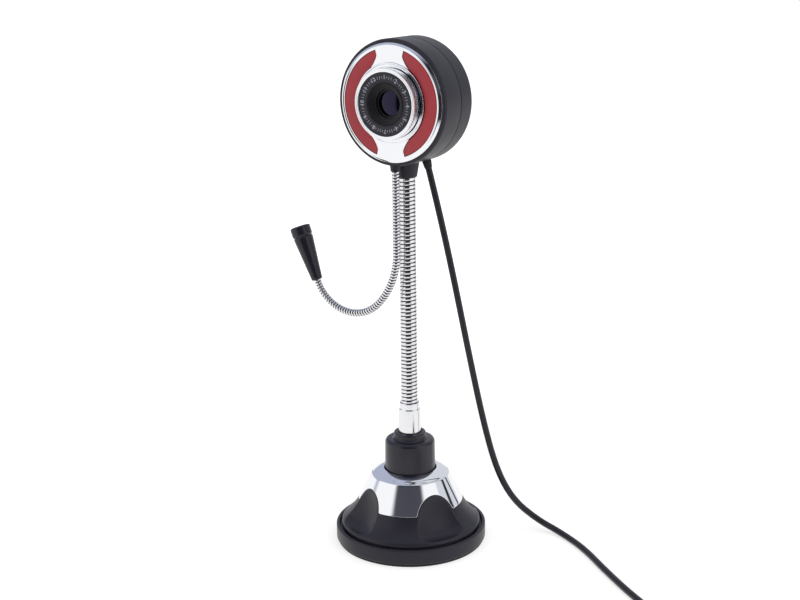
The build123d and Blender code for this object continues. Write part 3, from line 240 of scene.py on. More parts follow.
def node_copy(node, width):
    """A copy of a CAD node as one joined mesh, its flat faces whole and its edges softened."""
    piece = tidy_mesh(copy_of(frame["nodes"][node], node + "_soft"))
    reshape(piece, (bpy.ops.mesh.dissolve_limited, {"angle_limit": math.radians(0.4)}))
    return round_edges(piece, width)


def place_along(middle, side, heading):
    """A place with its Z axis along a heading and its X axis to one side."""
    place = Matrix((side, heading.cross(side), heading)).transposed().to_4x4()
    place.translation = middle * MM
    return place


# ---- materials ----
def colour(text):
    """An sRGB hex value as the linear colour that a shader takes."""
    channels = [int(text[k:k + 2], 16) / 255 for k in (1, 3, 5)]
    linear = [c / 12.92 if c <= 0.04045 else ((c + 0.055) / 1.055) ** 2.4 for c in channels]
    return (*linear, 1.0)


def add_node(tree, kind, settings=None, inputs=None):
    """Add a node with its settings; an input is a value, or another node's socket to link from."""
    made = tree.nodes.new(kind)
    for name, value in (settings or {}).items():
        setattr(made, name, value)
    for name, value in (inputs or {}).items():
        socket = made.inputs[name]
        if isinstance(value, bpy.types.NodeSocket):
            tree.links.new(value, socket)
        else:
            socket.default_value = value
    return made


def new_material(name, base, sockets):
    """A material with its principled shader and the shader's own sockets."""
    made = bpy.data.materials.new(name)
    made.use_nodes = True
    tree = made.node_tree
    tree.nodes.clear()
    shader = add_node(tree, "ShaderNodeBsdfPrincipled", None, {"Base Color": colour(base), **sockets})
    add_node(tree, "ShaderNodeOutputMaterial", {"name": "Out"}, {"Surface": shader.outputs["BSDF"]})
    return made, shader


def patches(tree, size, detail=4.0):
    """Soft noise over the piece, its patches a size in millimetres."""
    where = add_node(tree, "ShaderNodeTexCoord")
    noise = add_node(tree, "ShaderNodeTexNoise", None,
                     {"Vector": where.outputs["Object"], "Scale": 1 / (size * MM), "Detail": detail})
    return noise.outputs["Fac"]


def drifting(tree, size, low, high):
    """A value that drifts between two values over patches of a size in millimetres."""
    made = add_node(tree, "ShaderNodeMapRange", None, {
        "Value": patches(tree, size), "From Min": 0.3, "From Max": 0.7, "To Min": low, "To Max": high})
    return made.outputs["Result"]


def make_finish(name, base, sockets, tint=None, bumps=None, gloss=None):
    """A material, and what is uneven in it, each with its size in millimetres first.

    tint: two colours that it drifts between. bumps: their depth in millimetres, and their detail.
    gloss: two roughnesses that it drifts between.
    """
    made, shader = new_material(name, base, sockets)
    tree = made.node_tree
    if tint:
        mix = add_node(tree, "ShaderNodeMix", {"data_type": "RGBA"}, {
            0: drifting(tree, tint[0], 0.0, 1.0), 6: colour(tint[1]), 7: colour(tint[2])})
        tree.links.new(mix.outputs[2], shader.inputs["Base Color"])
    if bumps:
        size, depth, detail = bumps
        bump = add_node(tree, "ShaderNodeBump", None, {
            "Height": patches(tree, size, detail), "Distance": depth * MM, "Strength": 1.0})
        tree.links.new(bump.outputs["Normal"], shader.inputs["Normal"])
    if gloss:
        tree.links.new(drifting(tree, *gloss), shader.inputs["Roughness"])
    return made


# ABS moulded against a polished tool: near black, with a broad soft mirror of the room.
gloss_abs = make_finish("polished_abs_black", "#1e1c27", {"IOR": 1.54, "Specular IOR Level": 0.4},
                        tint=(22.0, "#1c1a25", "#211f2b"), bumps=(0.6, 0.003, 3.0), gloss=(16.0, 0.24, 0.31))

# Pale grey ink printed from a soft pad: flat and dull, thinner here and there.
dial_ink = make_finish("pale_grey_pad_ink", "#a6a6b6", {"IOR": 1.45, "Specular IOR Level": 0.2},
                       tint=(0.8, "#9a9aab", "#b4b4c2"), gloss=(1.2, 0.5, 0.65))


def nickel_strip():
    """Nickel-plated steel strip wound into hose: mirror bright on its crests, with painted shade, near black,
    in its grooves.

    The hose carries its own groove attribute: 0 on a crest and 1 at the bottom of a groove; it places the
    painted shade.
    """
    made = make_finish("nickel_plated_steel", "#ececef", {"Metallic": 1.0},
                       bumps=(0.4, 0.002, 2.0), gloss=(1.6, 0.10, 0.20))
    tree = made.node_tree
    depth = add_node(tree, "ShaderNodeAttribute", {"attribute_name": "groove"})
    # Painted shade: the strip's colour falls from near white to near black towards each groove's bottom.
    groove_shade = add_node(tree, "ShaderNodeMix", {"data_type": "RGBA"}, {
        0: depth.outputs["Fac"], 6: colour("#f0f0f2"), 7: colour("#303036")})
    tree.links.new(groove_shade.outputs[2], tree.nodes["Principled BSDF"].inputs["Base Color"])
    return made


FINISH = {
    # ABS moulded in a finely spark-eroded tool: near black with a violet cast and a soft satin sheen.
    # The real grain is about 0.05 mm, too fine to show, so it is drawn at 0.3 mm.
    "black_plastic": make_finish("moulded_abs_black", "#211f2a", {"IOR": 1.54, "Specular IOR Level": 0.32},
        tint=(18.0, "#1f1d28", "#24222d"), bumps=(0.3, 0.004, 3.0), gloss=(14.0, 0.36, 0.44)),
    # Decorative chrome over moulded ABS: mirror bright and slightly blue, with faint polishing haze.
    # The plated skin follows the tool's shallow flow marks, a few micrometres deep over about 9 mm.
    "chrome": make_finish("chrome_plated_abs", "#f6f7fa", {"Metallic": 1.0},
        bumps=(9.0, 0.006, 1.0), gloss=(7.0, 0.05, 0.09)),
    "nickel": nickel_strip(),
    # Red ABS, polished: an even strong colour under a broad soft gloss.
    "red_plastic": make_finish("polished_red_abs", "#a8343c", {"IOR": 1.54, "Specular IOR Level": 0.35},
        tint=(9.0, "#a5333b", "#ad3840"), bumps=(0.7, 0.003, 3.0), gloss=(11.0, 0.26, 0.34)),
    # Dark lacquer on a turned ring: dull, with turning marks too fine to see, drawn at 0.2 mm.
    "dark_dial": make_finish("dark_grey_lacquer", "#2a2a31", {"IOR": 1.5, "Specular IOR Level": 0.3},
        tint=(4.0, "#29292f", "#2e2e35"), bumps=(0.2, 0.004, 3.0), gloss=(5.0, 0.36, 0.46)),
    # Moulded nitrile rubber: black, dull, with a slight grey bloom.
    "rubber": make_finish("nitrile_rubber", "#29292b", {"IOR": 1.5, "Specular IOR Level": 0.3},
        tint=(6.0, "#262628", "#2f2f31"), bumps=(0.5, 0.01, 3.0), gloss=(8.0, 0.55, 0.7)),
    # Extruded PVC cable jacket: black with a waxy sheen and slight waves from the die.
    "cable_black": make_finish("pvc_jacket", "#1f1d25", {"IOR": 1.53, "Specular IOR Level": 0.35},
        tint=(7.0, "#1d1b23", "#222028"), bumps=(1.1, 0.012, 3.0), gloss=(6.0, 0.32, 0.42)),
    # Black anodised aluminium: deep and even, with fine turning marks drawn at 0.25 mm.
    "anodised_black": make_finish("black_anodised_aluminium", "#131318", {"Specular IOR Level": 0.3},
        tint=(3.0, "#121217", "#17171c"), bumps=(0.25, 0.004, 3.0), gloss=(4.0, 0.28, 0.36)),
    # Lens glass with an antireflection coating, its faint reflections tinted violet. Its near-black body colour
    # is painted shade, standing in for the dark inside of the barrel seen through it.
    "glass": make_finish("coated_glass_shade_tint", "#1b1b2a", {
        "IOR": 1.52, "Transmission Weight": 1.0, "Roughness": 0.0, "Specular IOR Level": 0.15,
        "Specular Tint": colour("#c4bcff")}),
    # Zinc-plated steel: pale blue-grey metal, satin, mottled where the crystals turn.
    "steel": make_finish("zinc_plated_steel", "#b9bcc0", {"Metallic": 1.0},
        tint=(1.0, "#b2b6bb", "#c3c6ca"), gloss=(2.0, 0.25, 0.4)),
    # Green solder mask over glass epoxy, darker where the copper is etched away.
    "board_green": make_finish("green_solder_mask", "#1f5a33", {"IOR": 1.5},
        tint=(2.0, "#1b4f2d", "#256640"), gloss=(3.0, 0.25, 0.4)),
    # Moulded epoxy package: black, dull, with a fine filler grain.
    "chip_black": make_finish("moulded_epoxy", "#242426", {"IOR": 1.5},
        tint=(1.0, "#222224", "#29292b"), bumps=(0.15, 0.004, 3.0), gloss=(1.0, 0.5, 0.6)),
    # Natural nylon: milky white, slightly waxy.
    "white_nylon": make_finish("natural_nylon", "#e4e0d4", {"IOR": 1.53},
        tint=(3.0, "#e0dccf", "#e8e4da"), gloss=(2.0, 0.4, 0.5)),
}


def paint(piece, slot, finish=None):
    """Give a piece the finish of a material slot, or a finish of its own."""
    piece.data.materials.clear()
    piece.data.materials.append(finish or FINISH[slot])
    return piece


def stands_for(piece, *nodes, finish=None):
    """The piece takes the slot and the body of the first CAD node, and is shown in place of them all."""
    paint(piece, SLOT_OF[nodes[0]], finish)
    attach(piece, BODY_OF[nodes[0]])
    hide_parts(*nodes)
    return piece


def bends_for(piece, upper, lower, start, end, *nodes):
    """The piece takes the slot of the first CAD node, keeps its place, and is shown in place of the CAD nodes.
    """
    paint(piece, SLOT_OF[nodes[0]])
    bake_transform(piece)
    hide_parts(*nodes)


def turned_for(node, name, *corners, place=Matrix(), steps=192, turns=5, finish=None):
    """A turned piece of rounded corners, shown in place of a CAD node."""
    return stands_for(turned(name, rounded(*corners, steps=turns), place, steps), node, finish=finish)


for part, slot in SLOT_OF.items():
    frame["nodes"][part].data.materials.clear()
    frame["nodes"][part].data.materials.append(FINISH[slot])


# ---- camera ----
# In front, to the object's left and a little above it.
CAMERA_PLACE = (0.37122, -0.57776, 0.31535)
CAMERA_TURN = 33.08  # degrees round from straight in front
CAMERA_DOWN = 14.96
CAMERA_ROLL = -0.76
CAMERA_LENS = 61.91  # millimetres on a 36 mm wide sensor

clear_selection()
bpy.ops.object.camera_add(location=CAMERA_PLACE)
camera = bpy.context.object
camera.matrix_world = (
    Matrix.Translation(CAMERA_PLACE) @ Matrix.Rotation(math.radians(CAMERA_TURN), 4, "Z")
    @ Matrix.Rotation(math.radians(90 - CAMERA_DOWN), 4, "X")
    @ Matrix.Rotation(math.radians(CAMERA_ROLL), 4, "Z"))
camera.data.lens = CAMERA_LENS
camera.data.sensor_width = 36.0
bpy.context.scene.camera = camera


# ---- lead ----
NECK_PIVOTS = (90.0, 121.0, 152.0, 183.0)
NECK_BEND = 13.0  # the neck and lead bend over this length each side of a pivot
CABLE_R = 1.7
ROUTE = [
    (6.0, 9.5, 203.2),
    (9.9, 12.2, 183.4),
    (16.4, 16.8, 146.0),
    (23.2, 21.6, 102.4),
    (29.6, 26.0, 64.0),
    (35.5, 30.1, 36.0),
    (43.0, 35.4, 17.5),
    (54.5, 42.6, 5.5),
    (69.5, 41.5, CABLE_R),
    (88.5, 30.0, CABLE_R),
    (108.0, 13.0, CABLE_R),
    (131.0, -5.5, CABLE_R),
    (155.0, -21.5, CABLE_R),
]
TABLE_Z = 24.0  # below this height the lead bends with no joint
LEAD_CUTS = (204.0, 167.5, 136.5, 105.5, 62.0, TABLE_Z)  # heights at which it is cut into lengths
STEM_BEND = (43.0, 16.0)  # where the lead gives as the stem lifts: its middle, and its reach
LEAD_STUB = 16.0  # from the end of the route to the coil
COIL_MID_R = 20.2
COIL_ACROSS = 3
COIL_LAYERS = 3
COIL_POINTS = 16  # route points in one turn
COIL_SHIFT = 0.2  # share of a turn in which the lead moves over to the next place
COIL_LEAVE = math.radians(70)  # how far before the plug's bearing the lead leaves the coil
PLUG_BEARING = Vector((0.139, -0.990, 0)).normalized()
PLUG_RUN = Vector((PLUG_BEARING.y, -PLUG_BEARING.x, 0))
PLUG_END = (  # the lead's way over the coil and down to the plug: along, out, height
    (-14.0, 13.5, 12.1),
    (-12.0, 19.5, 12.1),
    (-9.0, 24.8, 11.6),
    (-4.0, 28.2, 9.0),
    (3.0, 28.6, 6.2),
    (10.0, 26.6, 4.6),
    (15.0, 24.6, 4.2),
    (20.0, 23.6, 4.2),
)


def coil_places():
    """Radius and height of each turn: in along the bottom layer, out along the next, and in again."""
    wide = 2 * CABLE_R
    across = [COIL_MID_R + wide * ((COIL_ACROSS - 1) / 2 - k) for k in range(COIL_ACROSS)]
    places = []
    for layer in range(COIL_LAYERS):
        order = across if layer % 2 == 0 else across[::-1]
        places += [(radius, CABLE_R + wide * layer) for radius in order]
    return places


def lead_points():
    """The whole lead: down from the head, along the table, round the coil and over it to the plug."""
    run = (Vector(ROUTE[-1]) - Vector(ROUTE[-2])).normalized()
    side = Vector((run.y, -run.x, 0))
    touch = Vector(ROUTE[-1]) + run * LEAD_STUB
    places = coil_places()
    centre = touch + side * places[0][0]
    start = math.atan2(-side.y, -side.x)
    leave = math.atan2(PLUG_BEARING.y, PLUG_BEARING.x) + COIL_LEAVE
    turns = len(places) - 1 + ((start - leave) / FULL_TURN) % 1.0
    points = [Vector(p) for p in ROUTE]
    count = round(turns * COIL_POINTS)
    for k in range(count + 1):
        t = k * turns / count
        n = min(int(t), len(places) - 1)
        share = max(0.0, (t - n - (1 - COIL_SHIFT)) / COIL_SHIFT)
        share = share * share * (3 - 2 * share)
        radius, height = Vector(places[n]).lerp(Vector(places[min(n + 1, len(places) - 1)]), share)
        a = start - FULL_TURN * t
        points.append(Vector((centre.x + radius * math.cos(a), centre.y + radius * math.sin(a), height)))
    for along, out, height in PLUG_END:
        spot = centre + PLUG_BEARING * out + PLUG_RUN * along
        points.append(Vector((spot.x, spot.y, height)))
    return points


def curve_line(name, points, resolution):
    """Points read along a smooth curve that the given points steer."""
    data = bpy.data.curves.new(name, "CURVE")
    data.dimensions = "3D"
    spline = data.splines.new("NURBS")
    spline.points.add(len(points) - 1)
    for place, point in zip(spline.points, points):
        place.co = (*(point * MM), 1.0)
    spline.order_u = 3
    spline.use_endpoint_u = True
    spline.resolution_u = resolution
    data.resolution_u = resolution
    holder = bpy.data.objects.new(name, data)
    bpy.context.scene.collection.objects.link(holder)
    mesh = bpy.data.meshes.new_from_object(holder)
    line = [v.co.copy() for v in mesh.vertices]
    bpy.data.objects.remove(holder)
    bpy.data.meshes.remove(mesh)
    return line


def cut_line(line, top, low):
    """The stretch of a falling line between two heights in millimetres, with exact ends."""
    part = []
    for here, there in zip(line, line[1:]):
        for height in (top * MM, low * MM):
            if here.z > height >= there.z:
                part.append(here.lerp(there, (here.z - height) / (here.z - there.z)))
        if top * MM > there.z > low * MM:
            part.append(there.copy())
    return part


def tube(name, line, radius):
    """A round tube along a line of points, closed at both ends."""
    sides = 20
    vertices = []
    faces = []
    across = (line[1] - line[0]).orthogonal().normalized()
    for k, point in enumerate(line):
        ahead = (line[min(k + 1, len(line) - 1)] - line[max(k - 1, 0)]).normalized()
        across = (across - ahead * across.dot(ahead)).normalized()
        other = ahead.cross(across)
        for j in range(sides):
            a = FULL_TURN * j / sides
            vertices.append(point + (across * math.cos(a) + other * math.sin(a)) * radius)
    for k in range(len(line) - 1):
        for j in range(sides):
            after = (j + 1) % sides
            faces.append((k * sides + j, k * sides + after, (k + 1) * sides + after, (k + 1) * sides + j))
    faces.append(range(sides)[::-1])
    faces.append(range(len(vertices) - sides, len(vertices)))
    data = bpy.data.meshes.new(name)
    data.from_pydata([tuple(v) for v in vertices], [], faces)
    piece = bpy.data.objects.new(name, data)
    bpy.context.scene.collection.objects.link(piece)
    return smooth(piece, 60.0)


def plug():
    """The lead's connector: a soft-edged moulded body, a folded steel shell and its contact tongue."""
    return [stands_for(node_copy(name, soft), name)
            for name, soft in (("plug_body", 0.5), ("plug_shell", 0.06), ("plug_tongue", 0.15))]


def make_lead():
    """The lead in lengths: those beside the neck are cut at set heights, the last lies on the table and goes
    with the base.
    """
    line = curve_line("lead_route", lead_points(), 6)
    bends = [(pivot, NECK_BEND) for pivot in NECK_PIVOTS[::-1]] + [STEM_BEND]
    exit_point = line[0]
    for k, (middle, reach) in enumerate(bends):
        part = cut_line(line, LEAD_CUTS[k], LEAD_CUTS[k + 1])
        if k == 0:
            part.insert(0, line[0])
        piece = paint(tube(f"lead_{k + 1}", part, CABLE_R * MM), "cable_black")
        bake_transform(piece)
        if k == 0:
            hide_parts("usb_cord")
        exit_point = part[-1]
    below = next(n for n, p in enumerate(line) if p.z < TABLE_Z * MM)
    rest = [exit_point.copy(), *line[below:]]
    piece = paint(tube("lead_coil", rest, CABLE_R * MM), "cable_black")
    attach(piece, "base")
    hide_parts("usb_cord_coil")
    plug()


make_lead()


# ---- suction base ----
BASE_R = 40.0
RIM_TOP = 9.3
LIP_TOP = 1.5  # the ring starts above the rubber lip
SLEEVE_TOP = 31.1
PIN_SLOT_Z = 18.3
PIN_SLOTS = (40, 3.6, 6.1)  # one cut right across makes both slots for the lifting pin
CUP_STRETCH = (3.5, 5.5)  # the cup gives between these heights as the stud draws it up


def base_ring():
    """Ring round the cup: a rounded rim, a groove, a ledge, and the deck and sleeve inside the grip."""
    piece = turned("base_ring_moulding", rounded(
        (BASE_R - 0.25, LIP_TOP + 0.15, 0.2), (BASE_R, LIP_TOP + 0.6, 0.3), (BASE_R, RIM_TOP, 0.7),
        (38.3, RIM_TOP, 0.35), (38.1, 7.3, 0.4), (36.7, 7.3, 0.4), (36.6, RIM_TOP, 0.3), (33.0, RIM_TOP, 0.3),
        (33.0, 6.0, 0.4), (14.65, 6.0, 0.5), (14.65, SLEEVE_TOP, 0.2), (13.55, SLEEVE_TOP, 0.2),
        (13.55, 4.0), (33.0, 4.0, 0.4), (36.0, LIP_TOP, 0.2)), steps=240)
    cut(piece, block(Matrix.Translation((0, 0, PIN_SLOT_Z * MM)), PIN_SLOTS))
    stands_for(smooth(piece), "base_ring")


def suction_cup():
    """Rubber cup: a flat sealing band, a shallow hollow with a pip, and a boss for the stud."""
    piece = turned("suction_cup_rubber", rounded(
        (0, 1.6), (1.8, 1.6, 0.4), (2.4, 1.1, 0.3), (3.2, 1.6, 0.5), (9.0, 1.6, 1.0), (32.9, 0.12, 1.0),
        (33.3, 0.0), (38.9, 0.0, 0.3), (39.3, 0.6, 0.3), (39.1, 1.5), (36.0, 1.5), (33.0, 3.3),
        (9.0, 3.3), (9.0, 7.6, 0.3), (3.6, 7.6, 0.2), (3.6, 5.7), (5.1, 5.7), (5.1, 3.3), (0, 3.3),
        shut=False))
    low, high = CUP_STRETCH
    bends_for(piece, "base", "stem", (0, 0, low * MM), (0, 0, high * MM), "suction_cup")


base_ring()
suction_cup()


# ---- twist grip ----
CROWN_TOP = 37.6
CROWN_R = 20.4
BELL_TOP = 36.6  # under the cap
BELL_FOOT = 9.6
BELL_WALL = 1.3
CONE_FOOT = (27.75, 22.6)
FLARE = (36.0, 12.2)
SHOULDER = (37.1, 9.9)
SCOOPS = 4
SCOOP_TURN = FULL_TURN / SCOOPS
SCOOP_FIRST = math.radians(-27.5)  # bearing of the first finger scoop, from the lens towards +X
SCOOP_TOP = (23.63, 31.0)
SCOOP_FOOT = (36.4, 11.5)
SCOOP_AXIS = 25.0  # how far the scoop's axis of turning lies outside its chord
SCOOP_FLANK_R = 26.0
SCOOP_HEEL_R = 7.0
SCOOP_BLEND = 0.14  # how softly a scoop runs into the cone
SCOOP_REACH = 6.0  # a point further than this outside a scoop isn't pressed at all
GRIP_LIP = 0.55  # black edge between a scoop and the bright cap
CAM_TOP = 16.5
CAM_RISE = 1.25
CAP_PROUD = 0.1
CAP_WALL = 0.7
CROWN_INNER = (14.0, 40.05)  # mouth of the cap, round the post
TAB_ROUND = 1.2  # how softly a tab's corner turns
CAP_FOOT = (34.0, 15.0)  # the heights between which the cap's lower edge is looked for
CONE_SLOPE = (CONE_FOOT[0] - CROWN_R) / (CROWN_TOP - CONE_FOOT[1])
SPAN = math.dist(SCOOP_TOP, SCOOP_FOOT)
LEAN = math.atan2(SCOOP_FOOT[0] - SCOOP_TOP[0], SCOOP_TOP[1] - SCOOP_FOOT[1])
WIDEST = SPAN - SCOOP_HEEL_R
FLANK_MID = SCOOP_AXIS - math.sqrt(SCOOP_FLANK_R ** 2 - WIDEST ** 2)
HEEL_MID = FLANK_MID + SCOOP_FLANK_R - SCOOP_HEEL_R
SCOOP_PLACE = (SCOOP_TOP[0] + SCOOP_AXIS * math.cos(LEAN), SCOOP_TOP[1] + SCOOP_AXIS * math.sin(LEAN))


def cone_r(height):
    """Radius of the grip's cone at a height."""
    return CROWN_R + CONE_SLOPE * (CROWN_TOP - height)


def bearing_of(spot):
    """Bearing of a point about the stand, from the lens towards +X."""
    return math.atan2(spot.x, -spot.y)


def scoop_radius(along):
    """Radius of the round body that shapes a scoop, at a height on its own axis."""
    past = along + WIDEST
    if past >= 0:
        return FLANK_MID + math.sqrt(max(SCOOP_FLANK_R ** 2 - past ** 2, 0.0))
    return HEEL_MID + math.sqrt(max(SCOOP_HEEL_R ** 2 - past ** 2, 0.0)) + min(past + SCOOP_HEEL_R, 0.0)


def scoop_depth(radius, bearing, height, grow=0.0):
    """How far a point of the grip lies inside the nearest scoop, measured square to its chord."""
    off = (bearing - SCOOP_FIRST + SCOOP_TURN / 2) % SCOOP_TURN - SCOOP_TURN / 2
    out = radius * math.cos(off) - SCOOP_PLACE[0]
    up = height - SCOOP_PLACE[1]
    across = radius * math.sin(off)
    along = up * math.cos(LEAN) - out * math.sin(LEAN)
    inward = -out * math.cos(LEAN) - up * math.sin(LEAN)
    round_r = scoop_radius(along) + grow
    return math.sqrt(max(round_r ** 2 - across ** 2, 0.0)) - inward


def soft_over(value, blend):
    """The value where it is well above zero, zero well below, and a soft turn between."""
    return (value + math.sqrt(value * value + blend * blend)) / 2


def into_scoops(spot):
    """Press a point of the bell inwards where a finger scoop is."""
    bearing = bearing_of(spot)
    depth = scoop_depth(math.hypot(spot.x, spot.y) / MM, bearing, spot.z / MM)
    if depth < -SCOOP_REACH:
        return spot
    press = soft_over(depth, SCOOP_BLEND)
    centre = SCOOP_FIRST + round((bearing - SCOOP_FIRST) / SCOOP_TURN) * SCOOP_TURN
    flat = press * math.cos(LEAN) * MM
    return Vector((spot.x - flat * math.sin(centre), spot.y + flat * math.cos(centre),
                   spot.z - press * math.sin(LEAN) * MM))


def grip_bell():
    """Bell of the twist grip: straight cone, hollow flare and round shoulder, with four pressed scoops."""
    rows = 44
    heights = [BELL_TOP - (BELL_TOP - CONE_FOOT[1]) * k / rows for k in range(rows)]
    cone = [(cone_r(z) - 0.15, z) for z in heights]
    flare = tangent_arc(CONE_FOOT, (CONE_SLOPE, -1), FLARE, 36)
    shoulder = tangent_arc(SHOULDER, (0, 1), FLARE, 8)[::-1]
    foot = [(SHOULDER[0] - 0.1, BELL_FOOT + 0.1), (SHOULDER[0] - 0.4, BELL_FOOT), (34.8, BELL_FOOT)]
    piece = turned("grip_bell", [(17.9, BELL_TOP - 0.1), *cone, *flare, *shoulder[1:], *foot], steps=360)
    moved(piece, into_scoops)
    modify(piece, "SOLIDIFY", thickness=BELL_WALL * MM, offset=-1.0)
    stands_for(smooth(piece, 60.0), "twist_grip")


def cam_ring():
    """Lifting cam inside the grip: a ring whose top rises and falls twice round."""
    piece = turned("grip_cam", rounded((14.95, BELL_FOOT), (17.45, BELL_FOOT), (17.45, CAM_TOP),
                                       (14.95, CAM_TOP)), steps=96)

    def rise(spot):
        if spot.z < (CAM_TOP - 0.5) * MM:
            return spot
        wave = math.cos(2 * math.atan2(spot.y, spot.x))
        return Vector((spot.x, spot.y, (CAM_TOP - CAM_RISE * wave) * MM))

    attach(paint(smooth(moved(piece, rise)), "black_plastic"), "grip")


def tab_foot(bearing):
    """Height of the bright cap's lower edge at a bearing: round the scoops, straight along the tabs."""
    def inside(height):
        return scoop_depth(cone_r(height), bearing, height, GRIP_LIP) > 0

    high, lowest = CAP_FOOT
    while high > lowest and not inside(high - 0.5):
        high -= 0.5
    low = high - 0.5
    for _ in range(12):
        middle = (low + high) / 2
        low, high = (middle, high) if inside(middle) else (low, middle)
    return CONE_FOOT[1] + soft_over(low - CONE_FOOT[1], TAB_ROUND)


def crown_cap():
    """Plated cap: a conical skin with four tabs, a crisp rim and a top face that rises to the post."""
    rows = 26
    side_top = CROWN_TOP - 0.5
    heights = [CONE_FOOT[1] + (side_top - CONE_FOOT[1]) * k / rows for k in range(rows + 1)]
    side = [(cone_r(z) + CAP_PROUD, z) for z in heights]
    dome = tangent_arc(CROWN_INNER, (1.0, -0.12), (CROWN_R - 0.25, CROWN_TOP - 0.05), 12)[::-1]
    rim_turn = tangent_arc(side[-1], (-CONE_SLOPE, 1.0), dome[0], 4)
    mouth = [(13.85, 39.7), (13.85, 38.9)]
    piece = turned("crown_plating", [*side, *rim_turn[1:], *dome[1:], *mouth], steps=480)

    def follow(spot):
        height = spot.z / MM
        if height > side_top + 0.01:
            return spot
        bearing = bearing_of(spot)
        foot = tab_foot(bearing)
        share = (height - CONE_FOOT[1]) / (side_top - CONE_FOOT[1])
        height = foot + (side_top - foot) * share
        radius = (cone_r(height) + CAP_PROUD) * MM
        return Vector((radius * math.sin(bearing), -radius * math.cos(bearing), height * MM))

    moved(piece, follow)
    modify(piece, "SOLIDIFY", thickness=CAP_WALL * MM, offset=-1.0)
    stands_for(round_edges(piece, 0.12, 55.0), "crown_trim")


grip_bell()
cam_ring()
crown_cap()


# ---- stem ----
POST_R = 13.4
POST_TOP = 56.5
BUSH_TOP = 60.1
FERRULE_TOP = 76.4


# Hollow post: a straight foot, a slight taper above the crown and a soft shoulder.
turned_for("stem_post", "post_tube", (POST_R, 8.6, 0.3), (POST_R, 37.6), (POST_R - 0.3, POST_TOP, 2.0),
           (6.3, POST_TOP, 0.2), (6.3, 53.5), (11.0, 53.5), (11.0, 12.1), (1.5, 12.1), (1.5, 8.6),
           finish=gloss_abs)

# Bush on the post: a flared foot, a low drum and a chamfered mouth round the ferrule.
turned_for("stem_bush", "bush_moulding", (4.8, 53.5), (6.3, 53.5), (6.3, POST_TOP), (9.4, POST_TOP),
           (9.2, POST_TOP + 0.2, 0.5), (8.5, POST_TOP + 0.9, 0.5), (8.45, BUSH_TOP, 0.9),
           (6.9, BUSH_TOP, 0.25), (6.0, BUSH_TOP - 0.9, 0.2), (4.8, BUSH_TOP - 0.9),
           steps=160, finish=gloss_abs)

# Pressed ferrule: a skirt that narrows a little, a crimped crease and a thin rolled mouth.
turned_for("lower_ferrule", "ferrule_shell", (4.75, 49.5, 0.2), (4.8, BUSH_TOP - 0.9),
           (5.95, BUSH_TOP - 0.9), (5.72, 72.8, 0.12), (5.3, 73.35, 0.12), (5.22, FERRULE_TOP - 0.2, 0.2),
           (5.1, FERRULE_TOP, 0.1), (4.75, FERRULE_TOP, 0.1), (4.4, FERRULE_TOP - 0.5), (4.4, 62.1),
           (0, 62.1), (0, 49.5), steps=144, turns=6)


# ---- wound neck ----
SOCKET_Z = 196.3
NECK_CUTS = (74.5, 105.5, 136.5, 167.5, SOCKET_Z + 1.5)
NECK_BODIES = ("stem", "neck_low", "neck_mid", "neck_high", "head")


def wound_hose(name, crest_r, groove_r, pitch, low, high, steps, flat, shade_reach, wide):
    """A hose of one strip wound round and round: full, flattened crests and narrow grooves darkened by painted
    shade.

    steps: facets in one turn. flat: the power that fills out a crest's round shape, 1 for none.
    shade_reach: the share of a groove's depth, from its bottom up, that the painted shade darkens. wide: a
    crest's share of the pitch.
    """
    crest = [(groove_r, low - pitch)]
    for k in range(9):
        a = math.pi * k / 8
        bulge = math.sin(a) ** flat if 0 < k < 8 else 0.0
        crest.append((groove_r + (crest_r - groove_r) * bulge,
                      low - pitch / 2 - pitch * wide / 2 * math.cos(a)))
    crest.append((groove_r, low))
    piece = edge_chain(name, [(r * MM, 0, z * MM) for r, z in crest])
    turns = math.ceil((high - low) / pitch) + 2
    modify(piece, "SCREW", angle=FULL_TURN, screw_offset=pitch * MM, steps=steps, render_steps=steps,
           iterations=turns, use_merge_vertices=True, merge_threshold=2 * WELD)
    tidy_mesh(piece)
    slice_off(piece, low, -1)
    slice_off(piece, high, 1)
    # The groove mark places painted shade: it is 1 near each groove's bottom and falls to 0 up towards the
    # crests.
    depth = piece.data.attributes.new("groove", "FLOAT", "POINT")
    for vertex, mark in zip(piece.data.vertices, depth.data):
        out = math.hypot(vertex.co.x, vertex.co.y) / MM
        mark.value = min(1.0, max(0.0, 1.0 - (out - groove_r) / (crest_r - groove_r) / shade_reach))
    return piece


def hose_lengths(whole, name, node, cuts, bodies, bends, carry=None):
    """A hose in lengths, cut at the given heights, each carried to its place when asked and shown in place of
    its CAD nodes.
    """
    last = len(bends) - 1
    for k, (start, end) in enumerate(bends):
        length = copy_of(whole, f"{name}_{k + 1}")
        if k > 0:
            slice_off(length, cuts[k], -1)
        if k < last:
            slice_off(length, cuts[k + 1], 1)
        if carry:
            moved(length, carry)
        nodes = [f"{node}_{k + 1}"] + ([f"{node}_{k + 2}"] if k == last else [])
        bends_for(smooth(length, 42.0), bodies[k], bodies[k + 1], start, end, *nodes)
    bpy.data.objects.remove(whole)


def neck():
    """The neck: wide flat crests 2 mm apart, with thin grooves darkened by painted shade."""
    whole = wound_hose("neck_whole", crest_r=4.5, groove_r=3.9, pitch=2.0, low=NECK_CUTS[0],
                       high=NECK_CUTS[-1], steps=40, flat=0.25, shade_reach=0.3, wide=0.76)
    bends = [((0, 0, (pivot - NECK_BEND) * MM), (0, 0, (pivot + NECK_BEND) * MM)) for pivot in NECK_PIVOTS]
    hose_lengths(whole, "neck_winding", "neck_hose", NECK_CUTS, NECK_BODIES, bends)


neck()


